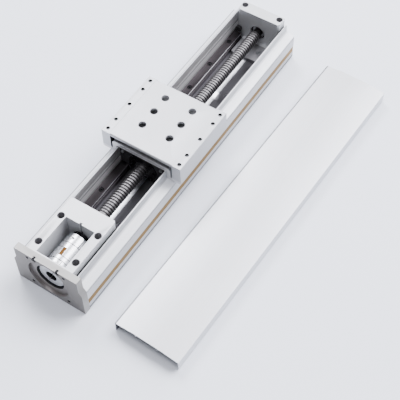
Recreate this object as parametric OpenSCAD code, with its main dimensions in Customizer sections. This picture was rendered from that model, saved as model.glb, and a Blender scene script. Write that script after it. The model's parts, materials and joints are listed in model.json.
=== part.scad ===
// Ball screw linear module: an aluminium channel with two inlaid ground rails, a rolled ball screw
// between them and a carriage that the screw drives. The top cover lies beside the module.
// The origin is the middle of the underside; +X runs from the motor face to the far end.

/* [Body] */
// Length from the motor face to the end of the channel
module_len = 591; // [560:1:640]
// Width over the lower part of the channel
body_w = 120; // [118:1:130]
// Height of the ledge's outer edge
ledge_h = 48.8; // [44:0.1:50]
// Rise of the ledge from its outer edge to the lip
ledge_rise = 3.5; // [2:0.1:5.5]
// Bevel between the ledge and the lip
lip_fillet = 2.4; // [1:0.1:3]
// Width and depth of the line below the ledge's edge
edge_line = 0.8; // [0.4:0.1:1.2]
// Distance from the ledge's edge to that line
edge_line_z = 2.2; // [1.6:0.1:3]
// Width of the trough between the lips
trough_w = 84.4; // [80:0.2:88]
// Height of the lips above the underside
lip_h = 66.8; // [62:0.2:67]
// Thickness of the lips
lip_t = 2.4; // [2:0.1:3]
// Height of the trough floor
floor_h = 16.5; // [14:0.1:17]
// Height of the groove line on the inner walls
wall_groove_h = 50; // [46:0.5:54]
// Depth and width of that groove line
wall_groove = 0.8; // [0.4:0.1:1.2]
// Bevel along the bottom edges
foot_bevel = 3; // [0.5:0.1:3.4]
// Wall left round the hollow chambers of the channel
chamber_wall = 3.6; // [3:0.1:5]

/* [Side strips] */
// Height of the bottom of the side slot
strip_z = 14.7; // [12:0.1:20]
// Width of the coloured strip
strip_w = 12.2; // [8:0.1:13]
// Thickness of the strip
strip_t = 1.6; // [1:0.1:2]
// How far the strip lies below the side face
strip_sink = 0.4; // [0.2:0.1:0.8]

/* [Motor flange] */
// Thickness of the motor flange
flange_t = 11; // [9:0.5:14]
// Width of the upper part of the flange
flange_upper_w = 110; // [104:1:114]
// Height of the flange above the blocks
flange_over = 1.5; // [1:0.1:4]
// Height of the flange's outer corners
flange_corner_h = 48.8; // [46:0.1:52]
// Height at which the flange starts to widen
flange_bevel_h = 56.6; // [54:0.1:64]
// Diameter of the motor's pilot recess
pilot_d = 70; // [60:1:70]
// Depth of the pilot recess
pilot_depth = 4.5; // [3:0.1:6]
// Opening for the coupling
coupling_port_d = 48; // [45:0.5:50]
// Side of the square of motor bolts
motor_square = 63.64; // [60:0.01:66]
// Tapped motor bolt hole
motor_hole_d = 5; // [4:0.1:6]
// Depth of the tapped holes behind the flange
motor_hole_t = 9; // [6:0.5:10]
// Half the distance between the two flange screws
flange_screw_y = 20; // [19:0.1:24]
// Distance from the top of the block to the flange screws
flange_screw_top = 2.6; // [2.4:0.1:3]
// Counterbore of the flange screws
flange_cbore_d = 9; // [8:0.1:9]
// Depth of the flange screws' seats
flange_seat = 4.6; // [4.2:0.1:6]

/* [Drive block] */
// Height of the screw axis
axis_h = 42; // [41:0.1:43]
// Length of the drive block
drive_len = 102; // [98:1:106]
// Height of both end blocks
block_h = 79; // [78:0.1:80]
// Width of both end blocks
block_w = 78.8; // [76:0.1:79.6]
// Corner bevel of the blocks
block_bevel = 2.6; // [1:0.1:4]
// Wall between the flange and the coupling pocket
pocket_start = 2.5; // [2:0.1:4]
// Length of the coupling pocket
pocket_len = 68; // [67:0.5:70]
// Width of the coupling pocket
pocket_w = 50.4; // [48:0.2:51]
// Floor left under the coupling pocket
pocket_floor = 3; // [2:0.1:4]
// Distance from the flange to the first pair of deep holes
deep_hole_x = 16.9; // [15:0.1:20]
// Distance between the pairs of deep holes
deep_pitch = 51.3; // [48:0.1:54]
// Distance between the two rows of deep holes
deep_row = 65.4; // [64:0.2:66]
// Diameter of the deep holes
deep_d = 11.6; // [10.8:0.1:12]
// Thickness left under the deep holes
deep_seat = 10; // [8:0.5:14]
// Width of the tool notch over the lock nut
notch_w = 4; // [3:0.5:6]
// Depth of the tool notch
notch_depth = 3; // [2:0.5:4]

/* [Ball screw] */
// Diameter of the threaded part
screw_d = 20; // [18:0.5:20]
// Lead of the thread
lead = 5; // [4:0.5:6]
// Depth of the ball groove
groove_depth = 1.25; // [0.8:0.05:1.5]
// Width of the land between two grooves
land_w = 1.7; // [1:0.1:2.5]
// Diameter of the bearing journals
journal_d = 15; // [14:0.5:16]
// Diameter of the journal's end in the coupling
drive_journal_d = 12; // [10:0.5:12]
// Radial clearance of rings and hubs on the shaft
seat_gap = 0.02; // [0.01:0.01:0.05]
// Distance from the drive block to the thread
thread_gap = 4; // [3:0.5:8]
// Length of the shoulder between the thread and the inner rings
shoulder_len = 7; // [5:0.5:8]
// Clearance between the end of the thread and the far block
thread_end_gap = 5; // [3:0.5:8]

/* [Bearings] */
// Outside diameter of the two drive bearings
drive_bearing_d = 32; // [30:1:33]
// Width of one drive bearing
drive_bearing_w = 9; // [8:0.5:10]
// Outside diameter of the far bearing
far_bearing_d = 35; // [32:1:36]
// Width of the far bearing
far_bearing_w = 11; // [9:0.5:11]
// Diameter of the bearing balls
bearing_ball_d = 4.6; // [4:0.1:5]
// Balls in each bearing
bearing_balls = 11; // [7:1:12]
// Radial running clearance of the balls
ball_gap = 0.05; // [0.02:0.01:0.08]
// Outside diameter of the lock nut
lock_nut_d = 32; // [28:0.5:36]
// Width of the lock nut
lock_nut_w = 6; // [5:0.5:6]
// Width of the threaded bearing retainer
retainer_w = 6; // [4:0.5:7]

/* [Coupling] */
// Outside diameter of the jaw coupling
coupling_d = 41; // [36:0.5:42]
// Length of the coupling
coupling_len = 66; // [60:0.5:67]
// Distance from the motor face to the coupling
coupling_x = 7; // [6.5:0.1:8]
// Length of the coupling's jaw zone
jaw_len = 14; // [12:0.5:16]
// Bore for the motor shaft
motor_bore_d = 19; // [14:0.5:19]
// Width of the clamp slits
slit_w = 1; // [0.6:0.1:1.4]
// Length of the clamping part of the hub on the screw
clamp_len = 16.5; // [15:0.5:18]
// Length of the clamping part of the hub on the motor shaft
motor_clamp_len = 19.5; // [17:0.5:21]
// Length of a clamp screw beyond the slit
clamp_grip = 8; // [6:0.5:9]
// Clearance between the jaws and the spider
jaw_gap = 0.15; // [0.1:0.05:0.3]
// Gap between the tips of the jaws and the other hub
jaw_tip_gap = 0.9; // [0.4:0.1:1.2]
// Width of a spider arm
arm_w = 5.4; // [4:0.1:7]
// Turn of the spider from the vertical
arm_turn = 6; // [-20:1:20]

/* [Far block] */
// Length of the far block
far_len = 20; // [19:0.5:24]
// Distance from the module's end to the top screws
far_screw_x = 7; // [6.4:0.1:9]
// Thickness left under the top screws
far_seat = 12; // [8:0.5:16]
// Half the distance between the top screws
far_screw_y = 33; // [30:0.5:34]
// Length of the toe in front of the far block
toe_len = 6; // [4:0.5:10]
// Length of the plate in front of the toe
foot_len = 35.5; // [32:0.5:42]
// Joint between the plate and the toe
foot_joint = 0.5; // [0.2:0.1:0.8]
// Thickness of the toe and the plate
foot_t = 5.3; // [4.6:0.1:5.6]
// Gap left between the plate and each rail
foot_side_gap = 1.2; // [0.6:0.1:3]
// Distance from the plate's tip to its screws
foot_screw_x = 20; // [14:1:24]
// Half the distance between the plate's screws
foot_screw_y = 16.4; // [14:0.1:18]
// Head height of the plate's low screws
foot_head_h = 3; // [2.4:0.1:3.4]
// Opening for the screw in the far block
far_port_d = 27; // [24:0.5:30]
// Thickness of the bearing cover
cover_plate_t = 4; // [3:0.5:6]
// Side of the bearing cover
cover_plate_w = 56; // [50:1:60]

/* [Rails] */
// Width of a rail
rail_w = 15; // [14:0.5:15.5]
// Height of a rail
rail_h = 15.5; // [15:0.1:16]
// Distance from the drive block to the rails
rail_start = 4; // [2:0.5:6]
// Distance from the rails to the far block
rail_end = 6.5; // [6.5:0.5:12]
// Distance between rail screws
rail_pitch = 60.9; // [50:0.1:75]
// Distance from the end of the rail to its last screw
rail_margin = 28.1; // [16:0.1:34]
// Counterbore of the rail screws
rail_cbore_d = 8.8; // [7.5:0.1:9]
// Radius of the ball groove in the rail
guide_ball_d = 4.4; // [4:0.1:5]
// Height of the guide balls above the rail's underside
guide_ball_z = 10.5; // [9:0.1:12]
// Length of the end bumpers
bumper_len = 6; // [4:0.5:8]
// Diameter of the end bumpers
bumper_d = 10; // [8:0.5:11]

/* [Mounting holes] */
// Distance between rows of mounting holes
mount_pitch = 100; // [80:1:110]
// Rows of mounting holes
mount_rows = 4; // [2:1:4]
// Distance from the last row to the end of the module
mount_end = 150; // [140:1:170]
// Distance between the two columns of mounting holes
mount_row_w = 40; // [36:0.5:40]
// Diameter of a mounting hole
mount_d = 5.5; // [5:0.1:6]
// Counterbore of a mounting hole
mount_cbore_d = 9.5; // [9:0.1:10]
// Depth of that counterbore
mount_cbore_h = 5.5; // [4:0.1:6]

/* [Fastening] */
// Length of a screw's thread in the piece that it holds on to
grip = 10; // [8:0.5:11]
// Depth of the tapped holes in the channel and the slider
tap_depth = 12; // [11.5:0.5:13]

/* [Carriage] */
// Distance from the motor face to the table at rest
table_x = 230; // [226:1:240]
// Length of the table
table_len = 127.5; // [126:0.5:134]
// Width of the table
table_w = 142.4; // [140:0.2:146]
// Height of the gap in which the cover runs
cover_gap = 8.4; // [6:0.1:10]
// Width of the table's raised screw strips and legs
leg_w = 15.4; // [14.5:0.1:15.8]
// Thickness of the table plate
plate_t = 5; // [4:0.1:5.2]
// Depth of the step between the strips and the plate
plate_step = 0.4; // [0.2:0.1:0.8]
// Bevel on the front and back edges of the plate
plate_bevel = 1.5; // [0.5:0.1:2]
// Clearance of the saddle's web over the lips and the nut
web_gap = 0.7; // [0.4:0.1:1]
// Further height of the web over the lips
web_rise = 0.7; // [0.3:0.1:1.2]
// Thickness of the saddle's web
web_t = 8.8; // [8:0.1:9.2]
// Clearance of the saddle's wings over the ledge
wing_gap = 1.1; // [0.8:0.1:1.6]
// Thickness of the saddle's wings
wing_t = 5.6; // [5:0.1:6]
// Gap between the saddle and the lips
lip_gap = 1.2; // [0.8:0.1:1.6]
// Width of the slot for the cover's skirt
skirt_slot = 3.2; // [3:0.1:3.6]
// Bevel on the shoulders of the saddle
saddle_bevel = 4; // [2:0.5:5]
// Depth of the seal groove in the saddle's ends
seal_groove = 0.8; // [0.4:0.1:1.2]
// Distance from the table's back edge to its last pair of large holes
hole_end = 24.5; // [20:0.5:28]
// Distance between the pairs of large holes
hole_pitch = 31; // [28:0.1:34]
// Distance between the two rows of large holes
hole_row = 49.6; // [44:0.2:56]
// Diameter of the large holes
hole_d = 12; // [10:0.1:13]
// Distance from the table's front edge to the first edge screw
edge_screw_x = 7.8; // [6:0.1:9]
// Distance from the first edge screw to the second
edge_screw_dx = 20.4; // [18:0.1:24]
// Width between the two rows of edge screws
edge_row = 128.6; // [126:0.1:130]
// Counterbore of the edge screws
edge_cbore_d = 6.4; // [5.8:0.1:6.8]
// Depth of the edge screws' heads below the top
edge_sink = 3.6; // [1:0.1:5]

/* [Slider] */
// Distance from the table's front edge to the slider block
slider_inset = 10; // [10:0.5:12]
// Thickness of the end caps
end_cap_t = 8; // [6:0.5:9]
// Gap between the slider and the rails or lips
slider_gap = 0.3; // [0.3:0.05:0.4]
// Side gap between the slider's head and the lips
head_gap = 1; // [0.6:0.1:2]
// Gap between the slider's head and the rails
over_rail_gap = 1.5; // [1:0.1:2]
// Gap between the slider and the foot
over_foot_gap = 0.9; // [0.5:0.1:1]
// Guide balls in the loaded row
guide_balls_n = 18; // [8:1:20]
// Diameter of the ball nut's body
nut_d = 32; // [30:0.5:33]
// Length of the ball nut's body behind its flange
nut_len = 41; // [30:1:60]
// Diameter of the ball nut's flange
nut_flange_d = 51; // [48:0.5:52]
// Thickness of the ball nut's flange
nut_flange_t = 9; // [8:0.5:10]
// Bolt circle of the ball nut
nut_pcd = 42; // [40:0.5:43]
// Clearance between the screw and the ball nut
nut_gap = 0.35; // [0.3:0.05:0.5]
// Clearance between the screw and plates that it only passes
pass_gap = 1.2; // [0.8:0.1:2]

/* [Top cover] */
// Length of the cover
cover_len = 584; // [540:1:600]
// Width of the cover
cover_w = 108.4; // [104:0.2:109]
// Height of the cover's edges
cover_h = 20.2; // [18:0.1:20.4]
// Rise of the cover's middle above its edges
cover_crown = 3; // [1:0.1:3.4]
// Width of the flat middle of the cover
cover_flat_w = 46; // [30:1:70]
// Wall of the cover
cover_t = 1.3; // [1:0.1:1.4]
// Distance between the two ribs under the cover
cover_rib_w = 37; // [30:1:44]
// Distance from the motor face to the cover's near end
cover_x = 2; // [-40:1:60]
// Distance from the screw axis to the middle of the cover's near end
cover_y = 164.4; // [150:0.2:260]
// Turn of the cover on the floor
cover_turn = -1.72; // [-3:0.01:3]

/* [Hidden] */
$fn = 64;
eps = 0.01;

// Stations along X
cover_spigot = 5;
x_face = -module_len / 2;
x_body = x_face + flange_t;
x_end = module_len / 2;
body_len = module_len - flange_t;
x_pocket = x_body + pocket_start;
x_pocket_end = x_pocket + pocket_len;
x_drive_end = x_body + drive_len;
x_far = x_end - far_len;
x_rail = x_drive_end + rail_start;
x_rail_end = x_far - rail_end;
x_thread = x_drive_end + thread_gap;
x_thread_end = x_far - thread_end_gap;
x_inner = x_drive_end - shoulder_len;
x_inner_end = x_inner - 2 * drive_bearing_w;
x_far_seat = x_end - cover_spigot - far_bearing_w;
x_coupling = x_face + coupling_x;
x_coupling_end = x_coupling + coupling_len;
x_jaw = x_coupling + (coupling_len - jaw_len) / 2;
x_jaw_end = x_jaw + jaw_len;
x_lock = x_coupling_end + 1.6;
x_table = x_face + table_x;
x_table_end = x_table + table_len;
x_slider = x_table + slider_inset;
x_slider_end = x_table_end - slider_inset;
x_toe = x_far - toe_len;
x_foot = x_toe - foot_joint - foot_len;

// Half widths and heights
body_hw = body_w / 2;
lip_in = trough_w / 2;
lip_out = lip_in + lip_t;
block_hw = block_w / 2;
rail_in = lip_in - rail_w;
rail_top = floor_h + rail_h;
rail_mid = lip_in - rail_w / 2;
guide_z = floor_h + guide_ball_z;
table_hw = table_w / 2;
leg_in = table_hw - leg_w;
wing_in = lip_out + lip_gap;
wing_out = leg_in - skirt_slot;
ledge_top = ledge_h + ledge_rise;
wing_z = ledge_top + wing_gap;
wing_top = wing_z + wing_t;
saddle_z = max(lip_h + web_rise, axis_h + nut_flange_d / 2) + web_gap;
web_top = saddle_z + web_t;
plate_z = web_top + cover_gap;
table_h = plate_z + plate_t;
flange_h = block_h + flange_over;
flange_screw_z = block_h - flange_screw_top;
foot_hw = rail_in - foot_side_gap;
foot_seat = foot_t - foot_head_h - 0.2;
slider_hw = rail_in - slider_gap;
head_hw = lip_in - head_gap;
head_z = rail_top + over_rail_gap;
slider_z = floor_h + foot_t + over_foot_gap;
journal_r = journal_d / 2;
screw_r = screw_d / 2;
bumper_z = rail_top + bumper_d / 2 + 0.3;
cover_plate_hole_y = cover_plate_w / 2 - 6;
rail_len = x_rail_end - x_rail;
rail_screws_n = floor((rail_len - rail_margin - rail_cbore_d) / rail_pitch) + 1;
rail_screw_x = [for (i = [0 : rail_screws_n - 1]) x_rail_end - rail_margin - i * rail_pitch];
mount_x = [for (i = [0 : mount_rows - 1]) x_end - mount_end - i * mount_pitch];
deep_x = [x_body + deep_hole_x, x_body + deep_hole_x + deep_pitch];
edge_x = [
    x_table + edge_screw_x, x_table + edge_screw_x + edge_screw_dx, (x_table + x_table_end) / 2,
    x_table_end - edge_screw_x - edge_screw_dx, x_table_end - edge_screw_x
];
hole_x = [for (i = [0 : 2]) x_table_end - hole_end - i * hole_pitch];
nut_angles = [45, 90, 135, 225, 270, 315];

// Bearings, coupling, slider and thread
drive_pitch_d = (drive_bearing_d + journal_d) / 2;
far_pitch_d = (far_bearing_d + journal_d) / 2;
clamp_screw_r = coupling_d * 0.36;
clamp_head_y = 5.5;
motor_hub_turn = 21;
screw_hub_turn = 34;
cap_screw_y = head_hw - 6;
cap_screw_z = saddle_z - 7;
saddle_screw_y = head_hw - 8;
saddle_screw_x = [x_slider + 20, x_slider_end - 20];
wiper_t = 3;
wiper_d = 26;
thread_turns = floor((x_thread_end - x_thread - 2) / lead);
thread_run = (x_thread_end - x_thread - thread_turns * lead) / 2;

// Fasteners: thread, head diameter, head height and key width
m3 = [3, 5.5, 3, 2.5];
m4 = [4, 7, 4, 3];
m5 = [5, 8.5, 5, 4];
m6 = [6, 10, 6, 5];
hole_gap = 0.3;
thread_fit = 0.05;

// Finishes
c_anodised = "#dfe0e3";
c_flange = "#c9cacd";
c_steel = "#8f9093";
c_rail = "#5a575c";
c_black = "#232326";
c_strip = "#b8915a";
c_spider = "#b4824b";
c_bright = "#c6c8cc";

// Mirrors the points of a right half outline to the left
function both(p) = concat(p, [for (i = [len(p) - 1 : -1 : 0]) if (p[i][0] > 0) [-p[i][0], p[i][1]]]);

// A Y-Z outline drawn along X
module along_x(x, l) {
    translate([x, 0, 0]) rotate([90, 0, 90]) linear_extrude(l) children();
}

// A bar between two Y and two Z values
module bar(x, l, y0, y1, z0, z1) {
    translate([x, y0, z0]) cube([l, y1 - y0, z1 - z0]);
}

// A round bar along X
module rod(x, l, d, y = 0, z = axis_h) {
    translate([x, y, z]) rotate([0, 90, 0]) cylinder(d = d, h = l);
}

// A ring along X round the screw axis
module ring(x, l, d_out, d_in) {
    difference() {
        rod(x, l, d_out);
        rod(x - 1, l + 2, d_in);
    }
}

// An upright round bar
module post(x, y, z, h, d) {
    translate([x, y, z]) cylinder(d = d, h = h);
}

// Socket head screw, head above z = 0 and shank below
module cap_screw(m, l) {
    difference() {
        union() {
            cylinder(d = m[1], h = m[2]);
            translate([0, 0, -l]) cylinder(d = m[0] - 2 * thread_fit, h = l + eps);
        }
        translate([0, 0, m[2] * 0.45]) cylinder(d = m[3] / cos(30), h = m[2], $fn = 6);
    }
}

// Socket head screw along X, head towards -X with its seat at x
module cap_screw_x(m, l, x, y, z) {
    translate([x, y, z]) rotate([0, -90, 0]) cap_screw(m, l);
}

// ---- Channel and end parts ----

module base_outline() {
    tip = lip_t / 4;
    line_z = ledge_h - edge_line_z;
    f = lip_fillet;
    polygon(both([
        [0, 0], [body_hw - foot_bevel, 0], [body_hw, foot_bevel],
        [body_hw, line_z - edge_line], [body_hw - edge_line, line_z - edge_line],
        [body_hw - edge_line, line_z], [body_hw, line_z], [body_hw, ledge_h - 0.8],
        [body_hw - 0.6, ledge_h], [lip_out + f, ledge_top], [lip_out, ledge_top + f],
        [lip_out, lip_h - tip], [lip_out - tip, lip_h], [lip_in + tip, lip_h], [lip_in, lip_h - tip],
        [lip_in, wall_groove_h + wall_groove], [lip_in + wall_groove, wall_groove_h],
        [lip_in, wall_groove_h - wall_groove], [lip_in, floor_h], [0, floor_h]
    ]));
}

// Hollow chambers of the extrusion, one above and one below the strip slot on each side
module chamber_outline() {
    in = lip_out + chamber_wall / 2;
    out = body_hw - chamber_wall;
    slot_in = body_hw - strip_t - strip_sink - chamber_wall;
    top = ledge_h - chamber_wall - edge_line;
    mid = strip_z + strip_w + chamber_wall;
    c = 1.5;
    for (s = [-1, 1]) scale([s, 1]) {
        polygon([[in + c, mid], [out - c, mid], [out, mid + c], [out, top - c], [out - c, top],
            [in + c, top], [in, top - c], [in, mid + c]]);
        polygon([[in + c, chamber_wall], [slot_in - c, chamber_wall], [slot_in, chamber_wall + c],
            [slot_in, mid - chamber_wall - c], [slot_in - c, mid - chamber_wall],
            [in + c, mid - chamber_wall], [in, mid - chamber_wall - c], [in, chamber_wall + c]]);
    }
}

// Tapped hole in the channel's floor
module tapped(x, y, m) {
    post(x, y, floor_h - tap_depth, tap_depth + 1, m[0]);
}

module base_profile() {
    slot_d = strip_t + strip_sink;
    color(c_anodised) difference() {
        along_x(x_body, body_len) difference() {
            base_outline();
            chamber_outline();
            for (s = [-1, 1]) translate([s * body_hw - slot_d, strip_z]) square([2 * slot_d, strip_w]);
        }
        for (x = mount_x, s = [-1, 1]) {
            post(x, s * mount_row_w / 2, -1, floor_h + 2, mount_d);
            post(x, s * mount_row_w / 2, floor_h - mount_cbore_h, mount_cbore_h + 1, mount_cbore_d);
        }
        for (x = rail_screw_x, s = [-1, 1]) tapped(x, s * rail_mid, m4);
        for (x = deep_x, s = [-1, 1]) tapped(x, s * deep_row / 2, m6);
        for (s = [-1, 1]) {
            tapped(x_end - far_screw_x, s * far_screw_y, m6);
            tapped(x_foot + foot_screw_x, s * foot_screw_y, m5);
            rod(x_body - 1, motor_hole_t + 1, motor_hole_d, s * motor_square / 2, axis_h - motor_square / 2);
        }
    }
}

module motor_flange() {
    up = flange_upper_w / 2;
    color(c_flange) difference() {
        along_x(x_face, flange_t) polygon(both([
            [0, 0], [body_hw - 0.4, 0], [body_hw, 0.4], [body_hw, flange_corner_h],
            [up, flange_bevel_h], [up, flange_h - 0.8], [up - 0.8, flange_h], [0, flange_h]
        ]));
        rod(x_face - 1, pilot_depth + 1, pilot_d);
        rod(x_face - 1, flange_t + 2, coupling_port_d);
        for (s = [-1, 1], t = [-1, 1])
            rod(x_face - 1, flange_t + 2, motor_hole_d, s * motor_square / 2, axis_h + t * motor_square / 2);
        for (s = [-1, 1]) {
            rod(x_face - 1, flange_seat + 1, flange_cbore_d, s * flange_screw_y, flange_screw_z);
            rod(x_face - 1, flange_t + 2, m4[0] + 2 * hole_gap, s * flange_screw_y, flange_screw_z);
        }
    }
}

module flange_screws() {
    color(c_black) for (s = [-1, 1])
        cap_screw_x(m4, flange_t - flange_seat + pocket_start, x_face + flange_seat, s * flange_screw_y,
            flange_screw_z);
}

// Block outline seen from above, with bevelled corners at its far end
module block_plan(l) {
    polygon([[0, -block_hw], [l - block_bevel, -block_hw], [l, block_bevel - block_hw],
        [l, block_hw - block_bevel], [l - block_bevel, block_hw], [0, block_hw]]);
}

module drive_block() {
    seat_x = x_inner_end;
    color(c_anodised) difference() {
        translate([x_body, 0, floor_h]) linear_extrude(block_h - floor_h) block_plan(drive_len);
        bar(x_pocket, pocket_len, -pocket_w / 2, pocket_w / 2, floor_h + pocket_floor, block_h + 1);
        rod(x_body - 1, pocket_start + 2, coupling_port_d);
        rod(x_pocket_end - 1, drive_len, drive_bearing_d - 6);
        rod(seat_x, x_drive_end - seat_x + 1, drive_bearing_d + 2 * seat_gap);
        bar(x_pocket_end - eps, notch_depth, -notch_w / 2, notch_w / 2, axis_h, block_h + 1);
        for (x = deep_x, s = [-1, 1]) {
            post(x, s * deep_row / 2, floor_h + deep_seat, block_h, deep_d);
            post(x, s * deep_row / 2, floor_h - 1, deep_seat + 2, m6[0] + 2 * hole_gap);
        }
        for (s = [-1, 1]) {
            rod(x_body - 1, pocket_start + 2, m4[0], s * flange_screw_y, flange_screw_z);
            rod(x_body - 1, motor_hole_t + 1, motor_hole_d, s * motor_square / 2, axis_h + motor_square / 2);
            rod(x_drive_end - 6, 7, m4[0], s * rail_mid, bumper_z);
        }
    }
}

module drive_block_screws() {
    color(c_steel) for (x = deep_x, s = [-1, 1])
        translate([x, s * deep_row / 2, floor_h + deep_seat]) cap_screw(m6, deep_seat + grip);
}

// A bearing ring with its ball groove
module outer_ring(x, w, d, pitch_d, ball_d) {
    difference() {
        ring(x, w, d, pitch_d + ball_d * 0.45);
        translate([x + w / 2, 0, axis_h]) rotate([0, 90, 0]) rotate_extrude()
            translate([pitch_d / 2, 0]) circle(d = ball_d + 2 * ball_gap);
    }
}

module inner_ring(x, w, d, pitch_d, ball_d) {
    difference() {
        ring(x, w, pitch_d - ball_d * 0.45, d);
        translate([x + w / 2, 0, axis_h]) rotate([0, 90, 0]) rotate_extrude()
            translate([pitch_d / 2, 0]) circle(d = ball_d + 2 * ball_gap);
    }
}

module ball_circle(x, pitch_d, ball_d, n) {
    for (i = [0 : n - 1]) translate([x, 0, axis_h]) rotate([i * 360 / n, 0, 0])
        translate([0, 0, pitch_d / 2]) sphere(d = ball_d);
}

module drive_bearing_outer_rings() {
    color(c_steel) for (i = [0, 1])
        outer_ring(x_inner_end + i * drive_bearing_w, drive_bearing_w, drive_bearing_d, drive_pitch_d,
            bearing_ball_d);
}

module drive_bearing_balls() {
    color(c_bright) for (i = [0, 1])
        ball_circle(x_inner_end + (i + 0.5) * drive_bearing_w, drive_pitch_d, bearing_ball_d,
            bearing_balls);
}

module drive_bearing_inner_rings() {
    color(c_steel) for (i = [0, 1])
        inner_ring(x_inner_end + i * drive_bearing_w, drive_bearing_w, journal_d + 2 * seat_gap,
            drive_pitch_d, bearing_ball_d);
}

// Ring that screws into the block and holds the outer rings
module bearing_retainer() {
    x = x_inner;
    color(c_black) difference() {
        ring(x, retainer_w, drive_bearing_d - thread_fit, drive_pitch_d);
        for (a = [0 : 90 : 270]) translate([x + retainer_w, 0, axis_h]) rotate([a, 0, 0])
            translate([-2, -1.5, drive_pitch_d / 2 + 1.2]) cube([3, 3, 12]);
    }
}

module far_block() {
    seat_x = x_far_seat;
    color(c_anodised) difference() {
        union() {
            translate([x_end, 0, floor_h]) mirror([1, 0, 0]) linear_extrude(block_h - floor_h)
                block_plan(far_len);
            bar(x_toe, toe_len + 1, -foot_hw, foot_hw, floor_h, floor_h + foot_t);
        }
        rod(x_far - 1, far_len + 2, far_port_d);
        rod(seat_x, x_end - seat_x + 1, far_bearing_d + 2 * seat_gap);
        for (s = [-1, 1]) {
            post(x_end - far_screw_x, s * far_screw_y, floor_h - 1, block_h, m6[0] + 2 * hole_gap);
            post(x_end - far_screw_x, s * far_screw_y, floor_h + far_seat, block_h, m6[1] + 1);
            rod(x_far - 1, 7, m4[0], s * rail_mid, bumper_z);
            for (t = [-1, 1])
                rod(x_end - grip, grip + 1, m4[0], s * cover_plate_hole_y, axis_h + t * cover_plate_hole_y);
        }
    }
}

// Plate on the channel's floor in front of the far block
module foot_plate() {
    color(c_anodised) difference() {
        bar(x_foot, foot_len, -foot_hw, foot_hw, floor_h, floor_h + foot_t);
        for (s = [-1, 1]) {
            post(x_foot + foot_screw_x, s * foot_screw_y, floor_h - 1, foot_t + 2, m5[0] + 2 * hole_gap);
            post(x_foot + foot_screw_x, s * foot_screw_y, floor_h + foot_seat, foot_t, m5[1] + 2 * hole_gap);
        }
    }
}

// Cap screws of the upright block and low-head screws of the plate
module far_block_screws() {
    low = [m5[0], m5[1], foot_head_h, m5[3]];
    color(c_steel) for (s = [-1, 1]) {
        translate([x_end - far_screw_x, s * far_screw_y, floor_h + far_seat]) cap_screw(m6, far_seat + grip);
        translate([x_foot + foot_screw_x, s * foot_screw_y, floor_h + foot_seat])
            cap_screw(low, foot_seat + grip);
    }
}

module far_bearing_outer_ring() {
    color(c_steel) outer_ring(x_far_seat, far_bearing_w, far_bearing_d, far_pitch_d, bearing_ball_d);
}

module far_bearing_balls() {
    color(c_bright) ball_circle(x_far_seat + far_bearing_w / 2, far_pitch_d, bearing_ball_d, bearing_balls);
}

module far_bearing_inner_ring() {
    color(c_steel) inner_ring(x_far_seat, far_bearing_w, journal_d + 2 * seat_gap, far_pitch_d,
        bearing_ball_d);
}

// Square plate whose spigot holds the far bearing's outer ring
module bearing_cover() {
    half = cover_plate_w / 2;
    color(c_anodised) difference() {
        union() {
            bar(x_end, cover_plate_t, -half, half, axis_h - half, axis_h + half);
            rod(x_end - cover_spigot, cover_spigot + 1, far_bearing_d - 2 * thread_fit);
        }
        rod(x_end - cover_spigot - 1, cover_spigot + 2, far_bearing_d - 6);
        for (s = [-1, 1], t = [-1, 1]) {
            y = s * cover_plate_hole_y;
            z = axis_h + t * cover_plate_hole_y;
            rod(x_end - 1, cover_plate_t + 2, m4[0] + 2 * hole_gap, y, z);
            rod(x_end + cover_plate_t - 2, 3, m4[1] + 2 * hole_gap, y, z);
        }
    }
}

module bearing_cover_screws() {
    low = [m4[0], m4[1], 2.4, m4[3]];
    color(c_steel) for (s = [-1, 1], t = [-1, 1])
        translate([x_end + cover_plate_t - 2, s * cover_plate_hole_y, axis_h + t * cover_plate_hole_y])
            rotate([0, 90, 0]) cap_screw(low, cover_plate_t - 2 + grip - 1);
}

// ---- Rails ----

// A rail with its ball groove on the inner side; side is +1 for the left rail
module rail(side) {
    b = 0.6;
    y0 = rail_in;
    y1 = lip_in;
    color(c_rail) difference() {
        along_x(x_rail, rail_len) scale([side, 1]) polygon([
            [y0, floor_h], [y1, floor_h], [y1, rail_top - b], [y1 - b, rail_top],
            [y0 + b, rail_top], [y0, rail_top - b]
        ]);
        rod(x_rail - 1, rail_len + 2, guide_ball_d + 2 * ball_gap,
            side * (rail_in - slider_gap / 2), guide_z);
        for (x = rail_screw_x) {
            post(x, side * rail_mid, floor_h - 1, rail_h + 2, m4[0] + 2 * hole_gap);
            post(x, side * rail_mid, rail_top - m4[2] - 0.8, rail_h, rail_cbore_d);
        }
    }
}

module left_rail() {
    rail(1);
}

module right_rail() {
    rail(-1);
}

module rail_screws() {
    color(c_black) for (x = rail_screw_x, s = [-1, 1])
        translate([x, s * rail_mid, rail_top - m4[2] - 0.8]) cap_screw(m4, rail_h - m4[2] - 0.8 + grip);
}

// Rubber bumpers on both end blocks, one over each rail
module end_bumpers() {
    color(c_black) for (s = [-1, 1]) {
        rod(x_drive_end, bumper_len, bumper_d, s * rail_mid, bumper_z);
        rod(x_drive_end - 5, 6, m4[0] - 2 * thread_fit, s * rail_mid, bumper_z);
        rod(x_far - bumper_len, bumper_len, bumper_d, s * rail_mid, bumper_z);
        rod(x_far - 1, 6, m4[0] - 2 * thread_fit, s * rail_mid, bumper_z);
    }
}

module strip(side) {
    y = body_hw - strip_sink - strip_t;
    color(c_strip) along_x(x_body, body_len) scale([side, 1]) translate([y, strip_z + 0.05])
        square([strip_t, strip_w - 0.1]);
}

module left_strip() {
    strip(1);
}

module right_strip() {
    strip(-1);
}

// ---- Ball screw and what turns with it ----

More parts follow.
